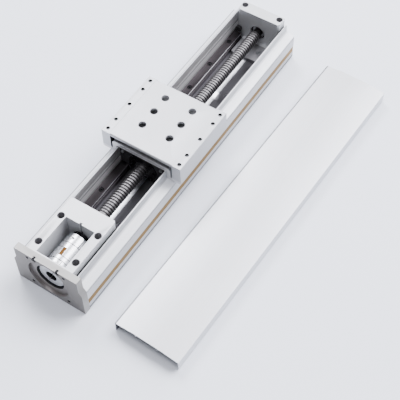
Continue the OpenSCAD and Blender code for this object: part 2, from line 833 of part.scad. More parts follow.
// Outline of the threaded part: a land and a round-bottomed groove for each turn
function thread_points() = [
    for (i = [0 : thread_turns - 1], k = [0 : 4])
        let (g = lead - land_w, a = k * 45)
        [
            screw_r - groove_depth * sin(a),
            thread_run + i * lead + land_w / 2 + g * (1 - cos(a)) / 2
        ]
];

module ball_screw() {
    len = x_thread_end - x_thread;
    x_tail = x_coupling_end - clamp_len - 4;
    color(c_bright) difference() {
        union() {
            translate([x_thread, 0, axis_h]) rotate([0, 90, 0]) rotate_extrude()
                polygon(concat([[0, 0], [screw_r - 1, 0], [screw_r, 1]], thread_points(),
                    [[screw_r, len - 1], [screw_r - 1, len], [0, len]]));
            rod(x_inner, x_thread - x_inner + 1, screw_d - 1);
            rod(x_lock, x_inner - x_lock + 1, journal_d);
            rod(x_tail, x_lock - x_tail + 1, drive_journal_d);
            rod(x_thread_end - 1, x_end - x_thread_end, journal_d);
        }
        translate([x_far_seat + far_bearing_w, 0, axis_h]) rotate([0, 90, 0]) difference() {
            cylinder(d = journal_d + 2, h = 1.1);
            translate([0, 0, -1]) cylinder(d = journal_d - 0.8, h = 4);
        }
    }
}

module bearing_spacer() {
    x = x_lock + lock_nut_w;
    color(c_steel) ring(x, x_inner_end - x, journal_d + 6, journal_d + 2 * seat_gap);
}

module lock_nut() {
    color(c_black) difference() {
        ring(x_lock, lock_nut_w, lock_nut_d, journal_d + 2 * seat_gap);
        for (a = [45 : 90 : 315]) translate([x_lock, 0, axis_h]) rotate([a, 0, 0])
            translate([-1, -2, lock_nut_d / 2 - 2]) cube([lock_nut_w + 2, 4, 4]);
        translate([x_lock + lock_nut_w / 2, 0, axis_h]) cylinder(d = 2.5, h = lock_nut_d);
    }
}

module circlip() {
    color(c_black) difference() {
        ring(x_far_seat + far_bearing_w + 0.05, 1, journal_d + 4, journal_d - 0.8 + 2 * seat_gap);
        bar(x_far_seat + far_bearing_w - 1, 4, -2.5, 2.5, axis_h, axis_h + journal_d);
    }
}

// ---- Jaw coupling ----

// Sector of the jaw zone taken by one hub's two jaws; turn sets which pair
module jaw_pair(turn) {
    inner_d = coupling_d * 0.5;
    intersection() {
        ring(x_jaw - 1, jaw_len + 1 - jaw_tip_gap, coupling_d, inner_d);
        translate([x_jaw - 2, 0, axis_h]) rotate([-arm_turn - turn, 0, 0])
            for (f = [0, 180]) rotate([f, 0, 0])
            rotate([90, 0, 90]) linear_extrude(jaw_len + 4) polygon(jaw_wedge());
    }
}

// Quarter wedge between two spider arms
function jaw_wedge() =
    let (s = arm_w / 2 + jaw_gap, r = coupling_d)
    [[s, s], [r, s], [r, r], [s, r]];

module hub(x, l, bore_d) {
    difference() {
        rod(x, l, coupling_d);
        rod(x - 1, l + 2, bore_d);
    }
}

// Cuts that make the outer end of a hub a clamp: an axial slit, a cross slit and the screw hole
module clamp_cuts(x_out, l, dir, turn) {
    x_cross = x_out + dir * l;
    screw_x = x_out + dir * l / 2;
    translate([0, 0, axis_h]) rotate([turn, 0, 0]) {
        translate([min(x_out - dir, x_cross), -slit_w / 2, 0]) cube([l + 1, slit_w, coupling_d]);
        translate([x_cross - slit_w / 2, -coupling_d, coupling_d * 0.02])
            cube([slit_w, 2 * coupling_d, coupling_d]);
        translate([min(x_out - dir, x_cross), -slit_w / 2, -coupling_d * 0.42])
            cube([l + 1, slit_w, coupling_d]);
        translate([screw_x, -coupling_d / 2 - 1, clamp_screw_r]) rotate([-90, 0, 0])
            cylinder(d = m4[0] + 2 * hole_gap, h = coupling_d / 2 + 2);
        translate([screw_x, slit_w / 2, clamp_screw_r]) rotate([-90, 0, 0])
            cylinder(d = m4[0], h = coupling_d);
        translate([screw_x, -coupling_d / 2 - 1, clamp_screw_r]) rotate([-90, 0, 0])
            cylinder(d = m4[1] + 2 * hole_gap, h = coupling_d / 2 - clamp_head_y + 1);
    }
}

module motor_side_hub() {
    color(c_bright) difference() {
        union() {
            hub(x_coupling, x_jaw - x_coupling, motor_bore_d);
            jaw_pair(0);
        }
        rod(x_coupling - 1, coupling_len, motor_bore_d);
        clamp_cuts(x_coupling, motor_clamp_len, 1, motor_hub_turn);
    }
}

module screw_side_hub() {
    color(c_bright) difference() {
        union() {
            hub(x_jaw_end, x_coupling_end - x_jaw_end, drive_journal_d + 2 * seat_gap);
            translate([x_jaw + x_jaw_end, 0, 0]) mirror([1, 0, 0]) jaw_pair(90);
        }
        clamp_cuts(x_coupling_end, clamp_len, -1, screw_hub_turn);
    }
}

// Elastomer spider: a ring with four arms
module coupling_spider() {
    len = jaw_len - 2 * jaw_gap;
    x = x_jaw + jaw_gap;
    color(c_spider) translate([0, 0, axis_h]) rotate([45 - arm_turn, 0, 0]) difference() {
        union() {
            rod(x, len, coupling_d * 0.4 - 2 * jaw_gap, 0, 0);
            intersection() {
                rod(x, len, coupling_d - 0.4, 0, 0);
                for (a = [45, 135]) rotate([a, 0, 0]) translate([x - 1, -coupling_d, -arm_w / 2])
                    cube([len + 2, 2 * coupling_d, arm_w]);
            }
        }
        rod(x_jaw - 1, jaw_len + 2, coupling_d * 0.22, 0, 0);
    }
}

module clamp_screw(x_out, l, dir, turn) {
    translate([0, 0, axis_h]) rotate([turn, 0, 0])
        translate([x_out + dir * l / 2, -clamp_head_y, clamp_screw_r]) rotate([90, 0, 0])
            cap_screw(m4, clamp_head_y + clamp_grip);
}

module hub_clamp_screws() {
    color(c_black) {
        clamp_screw(x_coupling, motor_clamp_len, 1, motor_hub_turn);
        clamp_screw(x_coupling_end, clamp_len, -1, screw_hub_turn);
    }
}

// ---- Carriage ----

module slider_outline() {
    b = 1;
    polygon(both([
        [0, slider_z], [slider_hw - b, slider_z], [slider_hw, slider_z + b], [slider_hw, head_z],
        [head_hw - b, head_z], [head_hw, head_z + b], [head_hw, saddle_z], [0, saddle_z]
    ]));
}

// Steel block between and over the rails that carries the ball nut
module slider_block() {
    color(c_rail) difference() {
        along_x(x_slider, x_slider_end - x_slider) slider_outline();
        rod(x_slider - 1, nut_len + 3, nut_d + 2 * seat_gap);
        rod(x_slider, x_slider_end - x_slider + 1, screw_d + 2 * pass_gap + 4);
        for (s = [-1, 1])
            rod(x_slider - 1, x_slider_end - x_slider + 2, guide_ball_d + 2 * ball_gap,
                s * (rail_in - slider_gap / 2), guide_z);
        for (a = nut_angles) translate([x_slider - 1, 0, axis_h]) rotate([a, 0, 0])
            translate([0, 0, nut_pcd / 2]) rotate([0, 90, 0]) cylinder(d = m4[0], h = 13);
        for (x = [x_slider - 1, x_slider_end - 9], s = [-1, 1])
            rod(x, 10, m3[0], s * cap_screw_y, cap_screw_z);
        for (x = saddle_screw_x, s = [-1, 1])
            post(x, s * saddle_screw_y, saddle_z - tap_depth, tap_depth + 1, m5[0]);
    }
}

// Loaded row of balls on each side
module guide_balls() {
    span = x_slider_end - x_slider - 12;
    color(c_bright) for (i = [0 : guide_balls_n - 1], s = [-1, 1])
        translate([x_slider + 6 + (i + 0.5) * span / guide_balls_n, s * (rail_in - slider_gap / 2), guide_z])
            sphere(d = guide_ball_d);
}

// End cap outline, just inside the slider's own
module cap_outline() {
    polygon(both([
        [0, slider_z + 0.4], [slider_hw - 1.4, slider_z + 0.4], [slider_hw - 0.4, slider_z + 1.4],
        [slider_hw - 0.4, head_z + 0.4], [head_hw - 1, head_z + 0.4], [head_hw, head_z + 1.4],
        [head_hw, saddle_z - 0.4], [0, saddle_z - 0.4]
    ]));
}

module cap_holes(x) {
    for (s = [-1, 1]) {
        rod(x - 1, end_cap_t + 2, m3[0] + 2 * hole_gap, s * cap_screw_y, cap_screw_z);
    }
}

module front_end_caps() {
    x = x_slider - end_cap_t;
    color(c_black) difference() {
        along_x(x, end_cap_t) cap_outline();
        rod(x - 1, end_cap_t + 2, nut_flange_d + 1);
        bar(x - 1, end_cap_t + 2, -nut_flange_d / 3, nut_flange_d / 3, 0, block_h);
        cap_holes(x);
    }
}

module rear_end_cap() {
    x = x_slider_end;
    color(c_black) difference() {
        along_x(x, end_cap_t) cap_outline();
        rod(x - 1, end_cap_t + 2, screw_d + 2 * pass_gap);
        cap_holes(x);
    }
}

module end_cap_screws() {
    color(c_steel) for (s = [-1, 1]) {
        cap_screw_x(m3, end_cap_t + 6, x_slider - end_cap_t, s * cap_screw_y, cap_screw_z);
        translate([x_slider_end + end_cap_t, s * cap_screw_y, cap_screw_z]) rotate([0, 90, 0])
            cap_screw(m3, end_cap_t + 6);
    }
}

// Flanged ball nut; the flange has a flat underneath
module ball_nut() {
    x = x_slider - nut_flange_t;
    color(c_rail) difference() {
        union() {
            intersection() {
                rod(x, nut_flange_t, nut_flange_d);
                bar(x - 1, nut_flange_t + 2, -nut_flange_d, nut_flange_d, slider_z, block_h);
            }
            rod(x_slider - 1, nut_len + 1, nut_d);
        }
        rod(x - 1, nut_flange_t + nut_len + 2, screw_d + 2 * nut_gap);
        rod(x - 1, 1 + wiper_t, wiper_d);
        rod(x_slider + nut_len - wiper_t, wiper_t + 1, wiper_d);
        for (a = nut_angles) translate([x - 1, 0, axis_h]) rotate([a, 0, 0]) translate([0, 0, nut_pcd / 2])
            rotate([0, 90, 0]) {
                cylinder(d = m4[0] + 2 * hole_gap, h = nut_flange_t + 2);
                cylinder(d = m4[1] + 2 * hole_gap, h = m4[2] + 1.2);
            }
    }
}

module nut_wipers() {
    color(c_black) {
        ring(x_slider - nut_flange_t, wiper_t, wiper_d, screw_d + 2 * nut_gap);
        ring(x_slider + nut_len - wiper_t, wiper_t, wiper_d, screw_d + 2 * nut_gap);
    }
}

module nut_screws() {
    color(c_steel) for (a = nut_angles) translate([x_slider - nut_flange_t + m4[2] + 0.2, 0, axis_h])
        rotate([a, 0, 0]) translate([0, 0, nut_pcd / 2]) rotate([0, -90, 0]) cap_screw(m4, 14);
}

// Aluminium saddle: a web over the lips, wings down outside them and feet under the table's legs
module saddle() {
    w = saddle_bevel;
    relief = lip_fillet * 0.6;
    color(c_anodised) difference() {
        along_x(x_table, table_len) polygon(both([
            [0, saddle_z], [wing_in - 1, saddle_z], [wing_in, saddle_z - 1],
            [wing_in, wing_z + relief], [wing_in + relief, wing_z], [table_hw, wing_z],
            [table_hw, wing_top], [wing_out, wing_top],
            [wing_out, web_top - w], [wing_out - w, web_top], [0, web_top]
        ]));
        for (x = [x_table, x_table_end]) bar(x - seal_groove, 2 * seal_groove, -head_hw, head_hw,
            saddle_z + web_t * 0.45, saddle_z + web_t * 0.55);
        for (x = edge_x, s = [-1, 1]) post(x, s * edge_row / 2, wing_z - 1, wing_t + 2, m3[0]);
        for (x = saddle_screw_x, s = [-1, 1]) {
            post(x, s * saddle_screw_y, saddle_z - 1, web_t + 2, m5[0] + 2 * hole_gap);
            post(x, s * saddle_screw_y, web_top - m5[2] - 0.4, m5[2] + 1, m5[1] + 2 * hole_gap);
        }
    }
}

module saddle_screws() {
    color(c_steel) for (x = saddle_screw_x, s = [-1, 1])
        translate([x, s * saddle_screw_y, web_top - m5[2] - 0.4]) cap_screw(m5, web_t - m5[2] - 0.4 + grip);
}

// Table: an inverted channel whose legs stand on the saddle's feet
module table() {
    b = plate_bevel;
    step = table_h - plate_step;
    color(c_anodised) difference() {
        along_x(x_table, table_len) polygon(both([
            [0, plate_z], [leg_in, plate_z], [leg_in, wing_top], [table_hw, wing_top],
            [table_hw, table_h - 0.5], [table_hw - 0.5, table_h], [leg_in + 1.4, table_h],
            [leg_in + 1.4, step], [0, step]
        ]));
        for (x = [x_table, x_table_end]) translate([x, -leg_in, step]) rotate([0, 45, 0])
            translate([-b / sqrt(2), 0, -b / sqrt(2)]) cube([b * sqrt(2), 2 * leg_in, b * sqrt(2)]);
        for (x = hole_x, s = [-1, 1]) {
            post(x, s * hole_row / 2, plate_z - 1, plate_t + 2, hole_d);
            translate([x, s * hole_row / 2, step - 0.5]) cylinder(d1 = hole_d, d2 = hole_d + 1.2, h = 0.6);
        }
        for (x = edge_x, s = [-1, 1]) {
            post(x, s * edge_row / 2, wing_top - 1, table_h, m3[0] + 2 * hole_gap);
            post(x, s * edge_row / 2, table_h - edge_sink - m3[2], table_h, edge_cbore_d);
        }
    }
}

module table_screws() {
    seat = table_h - edge_sink - m3[2];
    color(c_steel) for (x = edge_x, s = [-1, 1])
        translate([x, s * edge_row / 2, seat]) cap_screw(m3, seat - wing_top + wing_t - 0.5);
}

// ---- Top cover, lying beside the module ----

module cover_outline() {
    hw = cover_w / 2;
    t = cover_t;
    top = cover_h + cover_crown;
    flat = cover_flat_w / 2;
    rib = cover_rib_w / 2;
    polygon(both([
        [0, top - t], [rib - 0.8, top - t], [rib - 0.8, top - t - 3], [rib + 0.8, top - t - 3],
        [rib + 0.8, top - t], [flat, top - t], [hw - t, cover_h - t], [hw - t, 0],
        [hw, 0], [hw, cover_h - 0.4], [flat, top], [0, top]
    ]));
}

module top_cover() {
    color(c_anodised) translate([x_face + cover_x, -cover_y, 0]) rotate([0, 0, cover_turn])
        along_x(0, cover_len) cover_outline();
}

base_profile();
motor_flange();
flange_screws();
drive_block();
drive_block_screws();
drive_bearing_outer_rings();
drive_bearing_balls();
bearing_retainer();
far_block();
foot_plate();
far_block_screws();
far_bearing_outer_ring();
far_bearing_balls();
bearing_cover();
bearing_cover_screws();
left_rail();
right_rail();
rail_screws();
end_bumpers();
left_strip();
right_strip();
ball_screw();
drive_bearing_inner_rings();
bearing_spacer();
lock_nut();
far_bearing_inner_ring();
circlip();
motor_side_hub();
screw_side_hub();
coupling_spider();
hub_clamp_screws();
slider_block();
guide_balls();
front_end_caps();
rear_end_cap();
end_cap_screws();
ball_nut();
nut_wipers();
nut_screws();
saddle();
saddle_screws();
table();
table_screws();
top_cover();
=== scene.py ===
import json
import math

import bmesh
import bpy
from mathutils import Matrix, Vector

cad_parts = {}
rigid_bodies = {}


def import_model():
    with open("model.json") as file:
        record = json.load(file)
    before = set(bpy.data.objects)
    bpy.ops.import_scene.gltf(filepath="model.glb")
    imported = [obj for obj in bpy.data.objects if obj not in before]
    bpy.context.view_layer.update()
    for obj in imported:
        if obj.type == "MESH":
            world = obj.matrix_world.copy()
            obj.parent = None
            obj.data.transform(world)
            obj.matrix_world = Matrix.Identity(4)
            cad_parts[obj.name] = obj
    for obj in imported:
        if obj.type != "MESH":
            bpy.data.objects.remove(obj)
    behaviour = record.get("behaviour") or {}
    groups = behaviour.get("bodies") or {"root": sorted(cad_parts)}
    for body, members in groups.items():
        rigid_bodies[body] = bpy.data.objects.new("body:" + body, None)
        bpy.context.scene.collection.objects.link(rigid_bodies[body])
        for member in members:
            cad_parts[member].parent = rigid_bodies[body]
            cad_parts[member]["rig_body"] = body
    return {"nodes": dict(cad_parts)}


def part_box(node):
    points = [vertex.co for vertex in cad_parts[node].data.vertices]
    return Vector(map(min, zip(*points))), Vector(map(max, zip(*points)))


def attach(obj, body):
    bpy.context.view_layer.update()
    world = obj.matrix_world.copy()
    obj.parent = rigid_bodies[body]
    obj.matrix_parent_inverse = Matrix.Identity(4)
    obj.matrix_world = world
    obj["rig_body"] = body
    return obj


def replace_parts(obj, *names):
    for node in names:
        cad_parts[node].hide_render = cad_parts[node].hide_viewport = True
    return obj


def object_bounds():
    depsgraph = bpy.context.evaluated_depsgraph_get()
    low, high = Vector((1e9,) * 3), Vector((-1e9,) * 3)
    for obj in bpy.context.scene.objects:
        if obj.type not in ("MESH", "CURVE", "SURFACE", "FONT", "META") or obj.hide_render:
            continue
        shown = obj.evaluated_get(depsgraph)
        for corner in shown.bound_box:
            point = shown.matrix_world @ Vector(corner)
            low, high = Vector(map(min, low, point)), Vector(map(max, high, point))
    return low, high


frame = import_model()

cad_low, cad_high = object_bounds()
nodes = frame["nodes"]


# ---- Channel ----
# The body of the module is one aluminium extrusion, 120 mm wide, with two lips, a deep trough and hollow side
# walls. It is sawn to length and clear anodised. Its mounting holes are counterbored from above.

def tone(code):
    """A colour given as sRGB hex, as the linear colour that a shader takes."""
    parts = [int(code[i:i + 2], 16) / 255 for i in (1, 3, 5)]
    return [c / 12.92 if c <= 0.04045 else ((c + 0.055) / 1.055) ** 2.4 for c in parts] + [1]


def add(tree, kind, inputs=(), out=0, **settings):
    """Adds a node with its settings and inputs, and gives one of its outputs. Inputs go by order or by name,
    and each is a value, a colour as hex, or the socket that it is joined to."""
    n = tree.nodes.new(kind)
    for name, value in settings.items():
        setattr(n, name, value)
    for name, value in inputs.items() if isinstance(inputs, dict) else enumerate(inputs):
        if isinstance(value, bpy.types.NodeSocket):
            tree.links.new(value, n.inputs[name])
        else:
            n.inputs[name].default_value = tone(value) if isinstance(value, str) else value
    return n.outputs[out] if n.outputs else None


def finish(name, **constants):
    """A new material and its tree, shader and object coordinates."""
    m = bpy.data.materials.new(name)
    m.use_nodes = True
    tree = m.node_tree
    skin = tree.nodes["Principled BSDF"]
    for socket, value in constants.items():
        skin.inputs[socket.replace("_", " ")].default_value = value
    return m, tree, skin, add(tree, "ShaderNodeTexCoord", out="Object")


def patterned(tree, skin, colour, rough=None, bump=None):
    """Joins patterns to a finish: each is a pattern with what its low and its high give, or with the depth
    and the strength of a bump."""
    pattern, low, high = colour
    shade = add(tree, "ShaderNodeMix", {"Factor": pattern, 6: low, 7: high}, out=2, data_type="RGBA")
    tree.links.new(shade, skin.inputs["Base Color"])
    if rough:
        pattern, low, high = rough
        level = add(tree, "ShaderNodeMapRange", {"Value": pattern, "To Min": low, "To Max": high})
        tree.links.new(level, skin.inputs["Roughness"])
    if bump:
        pattern, depth, strength = bump
        raised = add(tree, "ShaderNodeBump", {"Height": pattern, "Distance": depth, "Strength": strength})
        tree.links.new(raised, skin.inputs["Normal"])


def speckled(name, dark, light, scale, detail=2.0, rough=None, bump=None, **constants):
    """A finish speckled between two colours. Roughness and bump follow the speckle where they are given."""
    m, tree, skin, place = finish(name, **constants)
    speck = add(tree, "ShaderNodeTexNoise", {"Vector": place, "Scale": scale, "Detail": detail}, out="Fac")
    patterned(tree, skin, (speck, dark, light), rough and (speck, *rough), bump and (speck, *bump))
    return m


def drawn_lines(tree, place, along, across):
    """Lines drawn out along the X axis: their sizes in metres along it and across."""
    scale = [1 / s for s in (along, across, across)]
    placed = add(tree, "ShaderNodeMapping", {"Vector": place, "Scale": scale})
    return add(tree, "ShaderNodeTexNoise", {"Vector": placed, "Scale": 1.0, "Detail": 3.0}, out="Fac")


def worked_metal(name, light, dark, marks, cloud, contrast, rough, bump, metallic, clouded=False):
    """A metal coloured by its marks and a cloud: the sizes of the marks along and across, and the scale and
    detail of the cloud. Roughness follows the marks, or the cloud where it is clouded."""
    m, tree, skin, place = finish(name, Metallic=metallic)
    lines = drawn_lines(tree, place, *marks)
    scale, detail = cloud
    clouds = add(tree, "ShaderNodeTexNoise", {"Vector": place, "Scale": scale, "Detail": detail}, out="Fac")
    both = add(tree, "ShaderNodeMath", (lines, clouds), operation="MULTIPLY")
    strong = add(tree, "ShaderNodeMapRange", {"Value": both, "To Min": 0.0, "To Max": contrast})
    patterned(tree, skin, (strong, dark, light), (clouds if clouded else lines, *rough), (lines, *bump))
    return m


# Clear anodised extrusion: satin, with faint die lines that run along the bar
def extruded_aluminium(name, light, dark, metallic=0.55, roughness=0.46):
    return worked_metal(name, light, dark, marks=(0.6, 0.0022), cloud=(14.0, 2.0), contrast=1.6,
                        rough=(roughness - 0.07, roughness + 0.07), bump=(0.00015, 0.35), metallic=metallic)


def dress(node, material):
    """Gives a CAD node its finish."""
    mesh = nodes[node].data
    mesh.materials.clear()
    mesh.materials.append(material)


# Points closer than this are one point, and faces that turn less than this are one face
WELD, FLAT_ANGLE = 1e-6, math.radians(0.4)
# Edges that turn more than this are sharp
SHARP_ANGLE = math.radians(35)


def eased(node, width, material):
    """A copy of a CAD node with its sharp edges broken by a small radius, as deburring leaves them."""
    mesh = nodes[node].data.copy()
    work = bmesh.new()
    work.from_mesh(mesh)
    bmesh.ops.remove_doubles(work, verts=work.verts, dist=WELD)
    bmesh.ops.dissolve_limit(work, angle_limit=FLAT_ANGLE, verts=work.verts, edges=work.edges)
    work.to_mesh(mesh)
    work.free()
    mesh.name = node + "_eased"
    mesh.materials.clear()
    mesh.materials.append(material)
    mesh.shade_smooth()
    mesh.set_sharp_from_angle(angle=SHARP_ANGLE)
    piece = bpy.data.objects.new(node + "_eased", mesh)
    bpy.context.scene.collection.objects.link(piece)
    ease = piece.modifiers.new("eased edges", "BEVEL")
    ease.width = width
    ease.segments = 2
    ease.limit_method = "ANGLE"
    ease.angle_limit = SHARP_ANGLE
    ease.harden_normals = True
    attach(piece, nodes[node]["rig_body"])
    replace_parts(piece, node)
    return piece


def lined(piece, material, chosen):
    """Gives a second finish to the faces whose centre and normal are chosen."""
    mesh = piece.data
    mesh.materials.append(material)
    for face in mesh.polygons:
        if chosen(face.center, face.normal):
            face.material_index = len(mesh.materials) - 1


# The floor of the trough: a light strip under the screw, which is a painted highlight, and darker grey with
# fine lines beside it
def trough_floor_painted_highlight():
    m, tree, skin, place = finish("trough_floor_painted_highlight", Metallic=0.9)
    lines = drawn_lines(tree, place, 0.3, 0.0009)
    y = add(tree, "ShaderNodeSeparateXYZ", (place,), out="Y")
    off = add(tree, "ShaderNodeMath", (y,), operation="ABSOLUTE")
    beside = add(tree, "ShaderNodeMapRange", {"Value": off, "From Min": 0.0042, "From Max": 0.0058})
    grey = add(tree, "ShaderNodeMix", {"Factor": lines, 6: "#58565a", 7: "#7b797d"}, out=2, data_type="RGBA")
    patterned(tree, skin, (beside, "#e6e6ea", grey), (lines, 0.24, 0.4))
    return m


def coloured_beyond(m, way, start, colour, over=0.0002):
    """Gives a finish another colour beyond a plane: way is its normal, and over the width of the change."""
    tree = m.node_tree
    skin = tree.nodes["Principled BSDF"]
    place = add(tree, "ShaderNodeTexCoord", out="Object")
    off = add(tree, "ShaderNodeVectorMath", (place, way), out="Value", operation="DOT_PRODUCT")
    beyond = add(tree, "ShaderNodeMapRange", {"Value": off, "From Min": start, "From Max": start + over})
    patterned(tree, skin, (beyond, skin.inputs["Base Color"].links[0].from_socket, colour))


DOWN, LEFT = (0, 0, -1), (0, 1, 0)

# Painted shade: bores, slits and other places in deep shade are painted nearly black, and cut threads are
# painted dark and a little metallic
deep_painted_shade = speckled("painted_shade_black", "#0c0c0d", "#1d1d1f", 900.0, Metallic=0.0, Roughness=0.8)
thread_painted_shade = speckled("painted_thread_shade", "#19191b", "#3c3c3f", 1800.0, Metallic=0.6, Roughness=0.5)
# The narrow groove under each ledge: painted shade, dark grey
groove_painted_shade = speckled("painted_groove_shade", "#33353a", "#4a4c52", 600.0, Metallic=0.3, Roughness=0.6)

# Painted shade on the outer walls: a little darker below 16 mm, near the floor, and a dark painted contact
# shadow along the bottom edge
clear_anodised = extruded_aluminium("clear_anodised_painted_foot_shade", "#cfd0d3", "#bcbdc1", metallic=0.4)
for below, grey in ((0.0165, "#b4b5b9"), (0.0075, "#3f4147")):
    coloured_beyond(clear_anodised, DOWN, -below, grey, over=0.002)

# Painted light and shade: ledges and lips are painted lighter than the walls, and a painted dark line of
# shade runs along their edge on the left
ledge_painted_light_and_shade = extruded_aluminium("painted_light_anodised_ledge", "#f0f1f4", "#e2e3e7", metallic=0.25, roughness=0.5)
coloured_beyond(ledge_painted_light_and_shade, LEFT, 0.0582, "#4c4e53")
lip_painted_light_and_shade = extruded_aluminium("painted_light_anodised_lip", "#e2e3e6", "#d2d3d7", metallic=0.4)
coloured_beyond(lip_painted_light_and_shade, LEFT, 0.0434, "#5c5e63")

# Painted light and shade: the inner walls have level bands of different greys, darkest beside the rails
inner_wall_painted_shading = extruded_aluminium("painted_shading_inner_wall", "#b7b6b7", "#a5a4a5", metallic=0.5)
for below, grey in ((0.0482, "#8b8a8b"), (0.0450, "#c9c8c9"), (0.0350, "#a4a3a4"), (0.0315, "#4b494b")):
    coloured_beyond(inner_wall_painted_shading, DOWN, -below, grey)

# The channel's faces are told apart by their height and by their distance from its middle plane
TROUGH_FLOOR, LINE_LOW, LINE_HIGH, BELOW_LEDGE, BELOW_LIP = 0.0175, 0.0450, 0.0472, 0.048, 0.066
TROUGH_HALF, WALL_HALF, LEDGE_IN, LINE_IN, WALL_OUT = 0.0422, 0.0436, 0.045, 0.0588, 0.0597


def on_ledge(c, n):
    return n.z > 0.9 and c.z > BELOW_LEDGE and LEDGE_IN < abs(c.y) < WALL_OUT


def on_inner_wall(c, n):
    facing_in = abs(n.y) > 0.4 and c.y * n.y < 0
    return facing_in and abs(c.y) < WALL_HALF and 0.0166 < c.z < BELOW_LIP


def in_ledge_groove(c, n):
    return abs(c.y) > LINE_IN and LINE_LOW < c.z < LINE_HIGH and (abs(n.z) > 0.3 or abs(c.y) < WALL_OUT)


def in_motor_holes(c, n):
    """True in the two lower holes for the motor, which run on into the channel's near end."""
    return c.x < -0.270 and 0.006 < c.z < 0.014 and 0.028 < abs(c.y) < 0.036


channel = eased("base_profile", 0.00035, clear_anodised)
lined(channel, ledge_painted_light_and_shade, on_ledge)
lined(channel, lip_painted_light_and_shade, lambda c, n: n.z > 0.9 and c.z > BELOW_LIP)
lined(channel, inner_wall_painted_shading, on_inner_wall)
lined(channel, groove_painted_shade, in_ledge_groove)
lined(channel, trough_floor_painted_highlight(), lambda c, n: n.z > 0.9 and c.z < TROUGH_FLOOR and abs(c.y) < TROUGH_HALF)
lined(channel, thread_painted_shade, in_motor_holes)


# ---- Side strips ----
# Thin bronze-coloured strips are pressed into a slot along each side of the channel.
# They are anodised and lightly brushed, so they carry fine lines along their length.

def bronze_strip():
    m, tree, skin, place = finish("bronze_anodised_strip", Metallic=1.0)
    lines = drawn_lines(tree, place, 0.25, 0.0006)
    patterned(tree, skin, (lines, "#6e4d08", "#82600e"), (lines, 0.34, 0.48), (lines, 0.0001, 0.3))
    return m


strip_finish = bronze_strip()
for side in ("left_strip", "right_strip"):
    dress(side, strip_finish)


# ---- Rails ----
# Two hardened steel rails lie in the corners of the trough. Their faces are ground along the bar, which
# leaves fine lines, and their upper bevels carry a painted highlight. The left rail is darker than the right
# one, whose lighter grey is a painted reflection.

def ground_steel(name, light, dark, roughness=0.3):
    return worked_metal(name, light, dark, marks=(0.05, 0.0004), cloud=(22.0, 3.0), contrast=1.8,
                        rough=(roughness - 0.08, roughness + 0.12), bump=(0.0001, 0.3), metallic=1.0,
                        clouded=True)


left_rail_steel = ground_steel("dark_ground_rail_steel", "#454143", "#2c292b", roughness=0.4)
# The right rail's lighter grey is a painted reflection, and the bright bevels are a painted highlight
right_rail_painted_reflection = ground_steel("rail_steel_painted_reflection", "#7d787b", "#5e5a5d", roughness=0.3)
edge_painted_highlight = ground_steel("painted_highlight_rail_bevel", "#b9b8bb", "#9b9a9d", roughness=0.3)
rails = [eased("left_rail", 0.0003, left_rail_steel), eased("right_rail", 0.0003, right_rail_painted_reflection)]
for rail in rails:
    lined(rail, edge_painted_highlight, lambda c, n: n.z > 0.3 and abs(n.y) > 0.3 and c.z > 0.030)


# ---- Socket head screws ----
# Hexagon socket head cap screws, cold formed with a knurled rim and a bevelled top. Those in the rails, drive
# block, flange, saddle and ball nut are black. Those in the far block, bearing cover, end caps and table are
# zinc plated.

def solids_of(node):
    """Low and high corners of each separate solid in a CAD node."""
    work = bmesh.new()
    work.from_mesh(nodes[node].data)
    bmesh.ops.remove_doubles(work, verts=work.verts, dist=WELD)
    seen, boxes = set(), []
    for start in work.verts:
        if start in seen:
            continue
        seen.add(start)
        stack, group = [start], []
        while stack:
            v = stack.pop()
            group.append(v.co.copy())
            for e in v.link_edges:
                w = e.other_vert(v)
                if w not in seen:
                    seen.add(w)
                    stack.append(w)
        boxes.append((Vector([min(c[i] for c in group) for i in range(3)]),
                      Vector([max(c[i] for c in group) for i in range(3)])))
    work.free()
    return boxes


# Shares of the head's diameter, its radius, the key's width, the head's height and the thread, and an angle
BEVEL_SHARE, KNURL_SHARE, HEX_CORNER, KEY_LIFT, SHANK_SHARE, SIXTH_TURN = 0.06, 0.022, 0.577, 0.45, 0.48, 1.05


